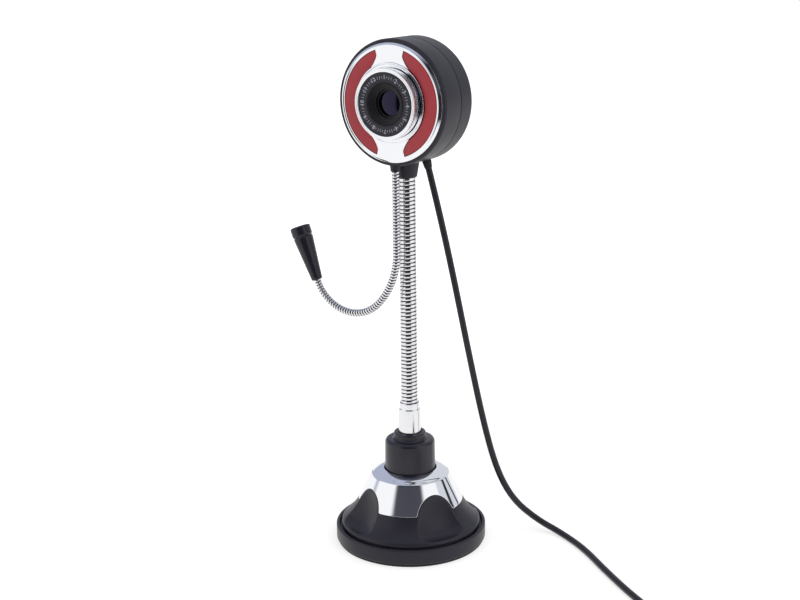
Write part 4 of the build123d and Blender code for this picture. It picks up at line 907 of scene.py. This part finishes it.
# ---- camera head: drawn about the lens axis, forward is +Z and up is +Y ----
HEAD_Z = 234.6
DRUM_R = 31.3
SEAM = -1.2
REAR = -13.6
COVER_SCREWS = 3
COVER_SCREWS_R = 26.6
SCREW_HOLE_R = 2.3
FACE_R = 29.4
FACE_FRONT = 14.75
SHELF_FRONT = 12.75
SHELF_BACK = 11.15
INSERT_OUT_R = 27.0
INSERT_IN_R = 19.8
INSERT_TIP = math.radians(17.4)  # how far round from straight up an insert's tip is
INSERT_WAIST = Vector((7.5, 22.6, 0))
INSERT_ROOT = 12.4  # how far to the side the insert's inner arc starts
INSERT_GAP = 0.28
COLLAR_R = 19.3
FACE_BORE = 17.9
FOCUS_FRONT = 19.65
DIAL_FRONT = 19.3
DIAL_NUMBERS = 12
NUMBERS_R = 13.1
LENS_R = 6.2
DOME_R = 19.7  # radius of the front glass's curve
DOME_TURN = math.radians(18.3)  # how far that curve turns from its top to its rim
DOME_TOP = 15.85
ON_HEAD = Matrix(((1, 0, 0, 0), (0, 0, -1, 0), (0, 1, 0, HEAD_Z * MM), (0, 0, 0, 1)))


# Front half of the drum: a rolled bezel round the face, the shelf behind it, and a chamfered seam.
turned_for("front_housing", "drum_front", (FACE_R + 0.12, 13.6, 0.15), (30.6, 13.6, 0.5), (DRUM_R, 12.3, 0.9),
           (DRUM_R, SEAM + 0.35, 0.1), (DRUM_R - 0.35, SEAM + 0.02), (29.3, SEAM + 0.02), (29.3, SHELF_BACK),
           (20.0, SHELF_BACK), (20.0, SHELF_FRONT), (FACE_R + 0.12, SHELF_FRONT), place=ON_HEAD, steps=256)


def rear_cover():
    """Closed back of the drum: a wide round edge, a shallow turned step and three sunk screw holes."""
    piece = turned("drum_back", rounded(
        (DRUM_R, SEAM - 0.35, 0.1), (DRUM_R, REAR, 3.4), (24.6, REAR, 0.3), (24.2, REAR + 0.3, 0.3),
        (0, REAR + 0.3), (0, REAR + 2.0), (29.3, REAR + 2.0), (29.3, SEAM - 0.02),
        (DRUM_R - 0.35, SEAM - 0.02), steps=10), ON_HEAD, steps=256)
    for k in range(COVER_SCREWS):
        a = FULL_TURN * (0.25 + k / COVER_SCREWS)
        spot = ON_HEAD @ (Vector((COVER_SCREWS_R * math.cos(a), COVER_SCREWS_R * math.sin(a), REAR)) * MM)
        clear_selection()
        bpy.ops.mesh.primitive_cylinder_add(vertices=40, radius=SCREW_HOLE_R * MM, depth=3.4 * MM,
                                            location=spot, rotation=(math.pi / 2, 0, 0))
        cut(piece, settle(bpy.context.object))
    stands_for(smooth(piece, 30.0), "rear_cover")


def crescent(side, shrink):
    """Outline of a window in the face: two arcs about the lens, with a hooked end top and bottom."""
    out, inn = INSERT_OUT_R - shrink, INSERT_IN_R + shrink

    def arc(radius, start, count):
        angles = [start * (1 - 2 * k / count) for k in range(1, count)]
        return [Vector((radius * math.cos(a), radius * math.sin(a), 0)) for a in angles]

    tip_x = out * math.sin(INSERT_TIP) + shrink
    tip = Vector((tip_x, math.sqrt(out * out - tip_x * tip_x), 0))
    waist = INSERT_WAIST + Vector((shrink, 0, 0))
    root_x = INSERT_ROOT + shrink
    root = Vector((root_x, math.sqrt(inn * inn - root_x * root_x), 0))
    lean = Vector((0.30, -0.95, 0))
    along = Vector((root.y, -root.x, 0)).normalized()
    hook = interpolate_bezier(tip, tip + Vector((-0.1, -1, 0)), waist - lean, waist, 6)
    hook += interpolate_bezier(waist, waist + lean * 3.2, root - along * 2.4, root, 9)[1:]
    lower = [Vector((p.x, -p.y, 0)) for p in hook[::-1]]
    inner = arc(inn, math.atan2(root.y, root.x), 36)
    outer = arc(out, -math.atan2(tip.y, tip.x), 56)
    return [(side * p.x, p.y) for p in [*hook, *inner, *lower, *outer, tip]]


def faceplate():
    """Plated face: a rounded bead at its rim, a raised collar round the lens, a window for each insert."""
    piece = turned("face_plating", rounded(
        (FACE_R, SHELF_FRONT), (FACE_R, FACE_FRONT - 0.95, 0.2), (28.3, FACE_FRONT - 0.08, 0.25),
        (27.9, FACE_FRONT + 0.05, 0.2), (27.4, FACE_FRONT - 0.15, 0.2),
        (COLLAR_R + 0.75, FACE_FRONT - 0.1, 0.2), (COLLAR_R + 0.5, FACE_FRONT + 0.45, 0.2),
        (COLLAR_R, FACE_FRONT + 0.45, 0.2),
        (COLLAR_R - 0.25, FACE_FRONT - 0.1, 0.2), (FACE_BORE, FACE_FRONT - 0.1, 0.1),
        (FACE_BORE, SHELF_FRONT), steps=6), ON_HEAD, steps=320)
    for side in (-1, 1):
        cut(piece, prism("window_cutter", crescent(side, 0.0), SHELF_FRONT - 1, FACE_FRONT + 2, ON_HEAD))
    stands_for(round_edges(piece, 0.16, 50.0), "faceplate")


def red_inserts():
    """Two polished crescents set in the windows with a dark gap round them."""
    for side, node in ((-1, "red_insert_left"), (1, "red_insert_right")):
        piece = prism(node + "_moulding", crescent(side, INSERT_GAP), SHELF_FRONT, FACE_FRONT - 0.12, ON_HEAD)
        stands_for(round_edges(piece, 0.3, 50.0, 3), node)


def dial_funnel():
    """Stepped black funnel from the dial in to the lens."""
    stairs = [(10.55, 16.05), (10.55, DIAL_FRONT - 0.2, 0.1), (10.3, DIAL_FRONT + 0.05, 0.15),
              (10.0, DIAL_FRONT, 0.15)]
    for k in range(4):
        r = 9.6 - 0.68 * k
        z = DIAL_FRONT - 0.75 - 0.62 * k
        stairs += [(r + 0.12, z + 0.1, 0.06), (r - 0.40, z, 0.12)]
    funnel = turned("dial_funnel", rounded(*stairs, (6.9, 16.3), (6.9, 16.05)), ON_HEAD, steps=160)
    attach(paint(funnel, "anodised_black"), "focus")


def dial_marks():
    """Plain numbers and ticks printed round the dial."""
    marks = []
    up = Matrix.Translation((0, NUMBERS_R * MM, (DIAL_FRONT + 0.02) * MM))
    for k in range(DIAL_NUMBERS):
        a = FULL_TURN * k / DIAL_NUMBERS
        clear_selection()
        bpy.ops.object.text_add()
        text = bpy.context.object.data
        text.body = str(k + 1)
        text.size = 2.9 * MM
        text.offset = 0.05 * MM
        text.align_x = "CENTER"
        text.align_y = "CENTER"
        text.extrude = 0.02 * MM
        text.resolution_u = 3
        bpy.ops.object.convert(target="MESH")
        number = bpy.context.object
        number.matrix_world = ON_HEAD @ Matrix.Rotation(-a, 4, "Z") @ up
        marks.append(settle(number))
        for j, tall in enumerate((1.0, 1.5, 1.5, 1.0)):
            b = a + FULL_TURN * (j + 1) / 5 / DIAL_NUMBERS
            marks.append(block(ON_HEAD @ Matrix.Rotation(-b, 4, "Z") @ up, (0.22, tall, 0.04)))
    clear_selection()
    for mark in marks:
        mark.select_set(True)
    bpy.context.view_layer.objects.active = marks[0]
    bpy.ops.object.join()
    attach(paint(named("dial_numbers"), "dark_dial", dial_ink), "focus")


def front_lens():
    """Domed front glass in the barrel's mouth."""
    angles = [math.radians(a) for a in range(0, 19, 2)]
    dome = [(LENS_R * math.sin(a) / math.sin(DOME_TURN), DOME_TOP - DOME_R * (1 - math.cos(a)))
            for a in angles]
    glass = turned("front_glass", [*dome, (LENS_R, 14.6), (6.4, 14.5), (6.4, 11.95), (0, 11.95)],
                   ON_HEAD, steps=96)
    stands_for(glass, "front_lens")


rear_cover()
faceplate()
red_inserts()

# Turned bright ring: a grooved lip in front, a waist line in its wall, a flange and hub behind.
turned_for("focus_ring", "focus_ring_plating", (17.5, 13.05), (17.5, 17.0, 0.1), (17.2, 17.15, 0.1),
           (17.2, 17.4, 0.1), (17.5, 17.55, 0.12), (17.5, FOCUS_FRONT, 0.35), (16.75, FOCUS_FRONT, 0.12),
           (16.6, FOCUS_FRONT - 0.3, 0.08), (16.45, FOCUS_FRONT, 0.12), (15.75, FOCUS_FRONT, 0.3),
           (15.5, FOCUS_FRONT - 0.5), (15.5, 16.0), (7.8, 16.0), (7.8, 9.95), (10.0, 9.95), (10.0, 14.4),
           (15.5, 14.4), (15.5, 11.45), (19.7, 11.45), (19.7, 12.45), (17.5, 12.45), place=ON_HEAD, steps=256)

# Dark ring for the numbers, with a rolled mouth.
turned_for("dial_ring", "dial_face", (9.9, 16.0), (15.45, 16.0), (15.45, DIAL_FRONT - 0.15, 0.15),
           (15.2, DIAL_FRONT, 0.15), (10.9, DIAL_FRONT, 0.2), (10.6, DIAL_FRONT - 0.25, 0.15),
           (9.9, DIAL_FRONT - 0.3), place=ON_HEAD)
dial_funnel()
dial_marks()

# Black barrel with a stepped mouth.
turned_for("lens_barrel", "barrel_body", (6.4, 2.0), (6.4, 6.8), (7.5, 6.8), (7.5, 15.45, 0.15),
           (LENS_R, 15.45, 0.1), (LENS_R, 14.95), (6.45, 14.8), (6.45, 11.85), (4.3, 11.85), (4.3, 5.0),
           (4.9, 5.0), (4.9, 2.0), place=ON_HEAD, steps=128)
front_lens()

# Tapered black socket under the drum that holds the top of the neck.
turned_for("neck_socket", "socket_moulding", (4.65, SOCKET_Z + 0.4), (4.65, SOCKET_Z, 0.1),
           (5.15, SOCKET_Z, 0.4), (5.3, SOCKET_Z + 0.8, 0.4), (6.35, 203.2, 0.5), (6.7, 206.5),
           (5.2, 206.5), (5.2, 209.0), (4.65, 209.0), steps=96)


# ---- microphone boom ----
MIC_Y = -10.5
BOSS_Z = 200.5
BOOM_STRAIGHT = BOSS_Z - 158.8
BEND_R = (40.0, 23.5)
BEND_TURN = (math.radians(45.0), math.radians(114.0))
BEND_LENGTH = (BEND_R[0] * BEND_TURN[0], BEND_R[1] * BEND_TURN[1])
BOOM_LENGTH = BOOM_STRAIGHT + sum(BEND_LENGTH)
BOOM_CUTS = (-2.0, 26.0, 52.0, 93.0, BOOM_LENGTH + 1.0)
BOOM_BODIES = ("head", "boom_high", "boom_mid", "boom_low", "microphone")
BOOM_BENDS = ((15.5, 9.0, 9.0), (36.5, 9.0, 9.0), (BOOM_STRAIGHT + BEND_LENGTH[0], 12.0, 12.0),
              (115.8, 9.0, 4.0))  # each pivot, and how far the bend reaches to each side
CAP_TOP = 29.8
SOUND_SLOT = (0.7, 4.6, 3.0)
SLOT_STEP = 1.7


def boom_place(along):
    """Place on the boom at a length from the boss: its middle, the side towards the neck, its heading."""
    turn = 0.0
    spot = Vector((0, MIC_Y, BOSS_Z - min(along, BOOM_STRAIGHT)))
    left = along - BOOM_STRAIGHT
    for radius, length in zip(BEND_R, BEND_LENGTH):
        after = turn + min(max(left, 0.0), length) / radius
        drop = math.sin(after) - math.sin(turn)
        spot += Vector((radius * (math.cos(after) - math.cos(turn)), 0, -radius * drop))
        turn = after
        left -= length
    heading = Vector((-math.sin(turn), 0, -math.cos(turn)))
    side = Vector((math.cos(turn), 0, -math.sin(turn)))
    return spot + heading * max(left, 0.0), side, heading


def on_boom(spot):
    """Carry a point of a straight hose to its place on the bent boom."""
    middle, side, _ = boom_place(spot.z / MM)
    return middle * MM + side * spot.x - Vector((0, spot.y, 0))


def boom():
    """The thin hose. Its real turns are about 1.35 mm apart; they are drawn at 1.6 mm so that they show."""
    whole = wound_hose("boom_whole", crest_r=2.06, groove_r=1.64, pitch=1.6, low=BOOM_CUTS[0],
                       high=BOOM_CUTS[-1], steps=20, flat=0.5, shade_reach=0.55, wide=0.72)
    bends = [(boom_place(pivot - back)[0] * MM, boom_place(pivot + on)[0] * MM)
             for pivot, back, on in BOOM_BENDS]
    hose_lengths(whole, "boom_winding", "mic_hose", BOOM_CUTS, BOOM_BODIES, bends, on_boom)


def boom_boss():
    """Short black boss under the drum, round the top of the boom."""
    piece = turned("boom_boss", rounded(
        (2.2, BOSS_Z), (2.45, BOSS_Z, 0.1), (2.5, BOSS_Z + 1.0, 0.3), (2.9, 204.5), (2.95, 206.0),
        (2.2, 206.0)), Matrix.Translation((0, MIC_Y * MM, 0)), steps=64)
    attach(paint(piece, "black_plastic"), "head")


def microphone():
    """Tapered microphone: a straight cone, a stepped collar and a domed cap with three sound slots."""
    place = place_along(*boom_place(BOOM_LENGTH))
    turned_for("mic_housing", "mic_body", (2.1, 0.3), (2.1, 0.0, 0.1), (2.75, 0.0, 0.35), (2.95, 0.9, 0.4),
               (5.2, 23.2, 0.2), (4.8, 23.9), (3.6, 23.9), (3.6, 19.7), (1.2, 19.7), (1.2, 5.0), (2.1, 5.0),
               place=place, steps=96, finish=gloss_abs)
    cap = turned("mic_cap_moulding", rounded(
        (4.0, 23.9), (4.8, 23.9), (5.05, 24.2, 0.1), (5.15, 24.5, 0.1), (5.38, 24.8, 0.2),
        (5.38, 28.9, 0.4), (5.05, 29.4, 0.3), (3.6, CAP_TOP - 0.08, 0.8), (0, CAP_TOP), (0, 28.0),
        (4.0, 28.0)), place, steps=96)
    for k in (-1, 0, 1):
        cut(cap, block(place @ Matrix.Translation((SLOT_STEP * k * MM, 0, (CAP_TOP - 0.2) * MM)), SOUND_SLOT))
    stands_for(smooth(cap, 30.0), "mic_cap", finish=gloss_abs)


boom()
boom_boss()
microphone()


# ---- lead fittings ----
# Soft rubber collar that tapers off along the lead where it leaves the drum.
EXIT_RUN = (Vector(ROUTE[1]) - Vector(ROUTE[0])).normalized()
turned_for("lead_grommet", "lead_collar", (CABLE_R + 0.02, -4.8), (2.2, -4.8), (2.2, -1.5), (2.4, -1.5),
           (2.35, 0.3, 0.4), (2.0, 3.2, 1.0), (1.85, 3.6, 0.1), (CABLE_R + 0.02, 3.6),
           place=place_along(Vector(ROUTE[0]), EXIT_RUN.orthogonal().normalized(), EXIT_RUN), steps=64)

for hidden in ("cup_stud", "stud_screw", "ferrule_nut", "neck_nut", "cam_pin", "cover_screws", "board_screws",
               "circuit_board", "bridge_chip", "crystal", "lead_socket", "lens_holder", "mic_capsule",
               "ring_retainer", "mic_clamp"):
    stands_for(node_copy(hidden, 0.08), hidden)


# ---- floor, world and lamps ----
# A region of the world is a bearing and two cosines of the turn from it, or two sines of height: its tone
# starts at the first and is full at the second.
WHITE = colour("#ffffff")
DARK = colour("#28282f")
COOL = colour("#b0b6ca")
DUSK = colour("#4c4c56")
PALE = colour("#d6d9e0")
CEILING = (0.62, 0.82)
BEHIND = (CAMERA_TURN + 180, 0.1, 0.3)  # a cool wall behind the object
BEHIND_FOOT = (0.10, 0.18)
BACK = (CAMERA_TURN + 128, 0.60, 0.66)  # a pale wall
SEAM_LINE = (CAMERA_TURN + 103, 0.996, 0.999)  # a dark line between two walls
DARK_END = (CAMERA_TURN - 5, 0.72, 0.86)  # the end that isn't lit
DARK_TOP = (0.9, 0.7)
DUSK_FOOT = (0.10, 0.22)  # a band in the dark end that is a little less dark
DUSK_TOP = (0.60, 0.45)
FLOOR_DARK = (0.34, 0.60)  # metres from the middle where mirrored floor falls dark
PAPER_PALE = (0.10, 0.45)  # metres from the middle where the paper gets its full white
PAPER_GLOW = (0.66, 1.0)  # how white it is at each, before the lamps
PAPER_MATT = (0.42, 0.42, 0.42, 1)  # how much of the object's shadow it takes
FILL_LIGHT = 0.55


def cone_share(tree, where, cone):
    """How nearly a direction points at a bearing: 0 outside a cone of turn, 1 well inside."""
    bearing = math.radians(cone[0])
    flat = add_node(tree, "ShaderNodeVectorMath", {"operation": "MULTIPLY"}, {0: where, 1: (1, 1, 0)})
    unit = add_node(tree, "ShaderNodeVectorMath", {"operation": "NORMALIZE"}, {0: flat.outputs[0]})
    dot = add_node(tree, "ShaderNodeVectorMath", {"operation": "DOT_PRODUCT"},
                   {0: unit.outputs[0], 1: (math.sin(bearing), -math.cos(bearing), 0)})
    share = add_node(tree, "ShaderNodeMapRange", {"interpolation_type": "SMOOTHSTEP"},
                     {"Value": dot.outputs["Value"], "From Min": cone[1], "From Max": cone[2]})
    return share.outputs["Result"]


def height_share(tree, where, heights):
    """How nearly a direction has come from a first height, where it is 0, to a second, where it is 1."""
    split = add_node(tree, "ShaderNodeSeparateXYZ", None, {"Vector": where})
    share = add_node(tree, "ShaderNodeMapRange", {"interpolation_type": "SMOOTHSTEP"},
                     {"Value": split.outputs["Z"], "From Min": heights[0], "From Max": heights[1]})
    return share.outputs["Result"]


def laid_over(tree, below, shares, above):
    """One colour over another, where the product of one or more shares lets it."""
    share = shares[0]
    for other in shares[1:]:
        share = add_node(tree, "ShaderNodeMath", {"operation": "MULTIPLY"}, {0: share, 1: other}).outputs[0]
    return add_node(tree, "ShaderNodeMix", {"data_type": "RGBA"}, {0: share, 6: below, 7: above}).outputs[2]


def seen_by(tree, ray, others, mine):
    """One shader for a kind of ray, and another for the rest."""
    path = add_node(tree, "ShaderNodeLightPath")
    mix = add_node(tree, "ShaderNodeMixShader", None, {0: path.outputs[ray], 1: others, 2: mine})
    return mix.outputs[0]


def studio_world():
    """White studio with a cool ceiling and back, and a dark end where the room isn't lit."""
    world = bpy.data.worlds.new("studio")
    bpy.context.scene.world = world
    world.use_nodes = True
    tree = world.node_tree
    tree.nodes.clear()
    where = add_node(tree, "ShaderNodeTexCoord").outputs["Generated"]
    dusk = [height_share(tree, where, DUSK_FOOT), height_share(tree, where, DUSK_TOP)]
    dark = laid_over(tree, DARK, dusk, DUSK)
    walls = WHITE
    for shares, tone in (
            ([height_share(tree, where, CEILING)], COOL),
            ([cone_share(tree, where, BEHIND), height_share(tree, where, BEHIND_FOOT)], COOL),
            ([cone_share(tree, where, BACK)], PALE),
            ([cone_share(tree, where, SEAM_LINE)], DARK),
            ([cone_share(tree, where, DARK_END), height_share(tree, where, DARK_TOP)], dark)):
        walls = laid_over(tree, walls, shares, tone)
    mirror = add_node(tree, "ShaderNodeBackground", None, {"Color": walls, "Strength": 1.0}).outputs[0]
    plain = add_node(tree, "ShaderNodeBackground", None, {"Color": WHITE, "Strength": 1.0}).outputs[0]
    fill = add_node(tree, "ShaderNodeBackground", None, {"Color": WHITE, "Strength": FILL_LIGHT}).outputs[0]
    seen = seen_by(tree, "Is Glossy Ray", fill, mirror)
    seen = seen_by(tree, "Is Transmission Ray", seen, mirror)
    seen = seen_by(tree, "Is Camera Ray", seen, plain)
    add_node(tree, "ShaderNodeOutputWorld", None, {"Surface": seen})


def pale_floor():
    """White floor that takes the object's shadow; mirrors see it fall dark towards the unlit end."""
    clear_selection()
    bpy.ops.mesh.primitive_plane_add(size=8.0, location=(0, 0, 0))
    floor = named("floor")
    made, shader = new_material("floor_paper", "#f2f2f2", {"Roughness": 0.9, "Specular IOR Level": 0.0})
    tree = made.node_tree
    where = add_node(tree, "ShaderNodeTexCoord").outputs["Object"]
    far = add_node(tree, "ShaderNodeVectorMath", {"operation": "LENGTH"}, {0: where}).outputs["Value"]
    away = add_node(tree, "ShaderNodeMapRange", {"interpolation_type": "SMOOTHSTEP"}, {
        "Value": far, "From Min": FLOOR_DARK[0], "From Max": FLOOR_DARK[1]})
    tone = laid_over(tree, WHITE, [cone_share(tree, where, DARK_END), away.outputs["Result"]], DARK)
    glow = add_node(tree, "ShaderNodeEmission", None, {"Color": tone, "Strength": 1.0})
    paper = add_node(tree, "ShaderNodeMapRange", {"interpolation_type": "SMOOTHSTEP"}, {
        "Value": far, "From Min": PAPER_PALE[0], "From Max": PAPER_PALE[1], "To Min": PAPER_GLOW[0],
        "To Max": PAPER_GLOW[1]})
    sheen = add_node(tree, "ShaderNodeEmission", None, {"Color": WHITE, "Strength": paper.outputs["Result"]})
    matt = add_node(tree, "ShaderNodeBsdfDiffuse", None, {"Color": PAPER_MATT})
    bright = add_node(tree, "ShaderNodeAddShader", None, {0: matt.outputs[0], 1: sheen.outputs[0]})
    seen = seen_by(tree, "Is Glossy Ray", shader.outputs[0], glow.outputs[0])
    seen = seen_by(tree, "Is Camera Ray", seen, bright.outputs[0])
    tree.links.new(seen, tree.nodes["Out"].inputs["Surface"])
    floor.data.materials.append(made)


def lamp(name, place, aim, size, watts):
    """Soft square lamp that faces a point."""
    bpy.ops.object.light_add(type="AREA", location=place)
    made = bpy.context.object
    made.name = name
    made.data.size = size
    made.data.energy = watts
    made.visible_glossy = False
    made.rotation_euler = (Vector(aim) - Vector(place)).to_track_quat("-Z", "Y").to_euler()


clear_selection()
studio_world()
pale_floor()
lamp("ceiling_softbox", place=(0.1, 0.0, 1.5), aim=(0, 0, 0.1), size=2.0, watts=13.0)
lamp("side_softbox", place=(1.2, -0.5, 0.8), aim=(0, 0, 0.15), size=0.9, watts=4.0)

bpy.context.scene.view_settings.view_transform = "Standard"
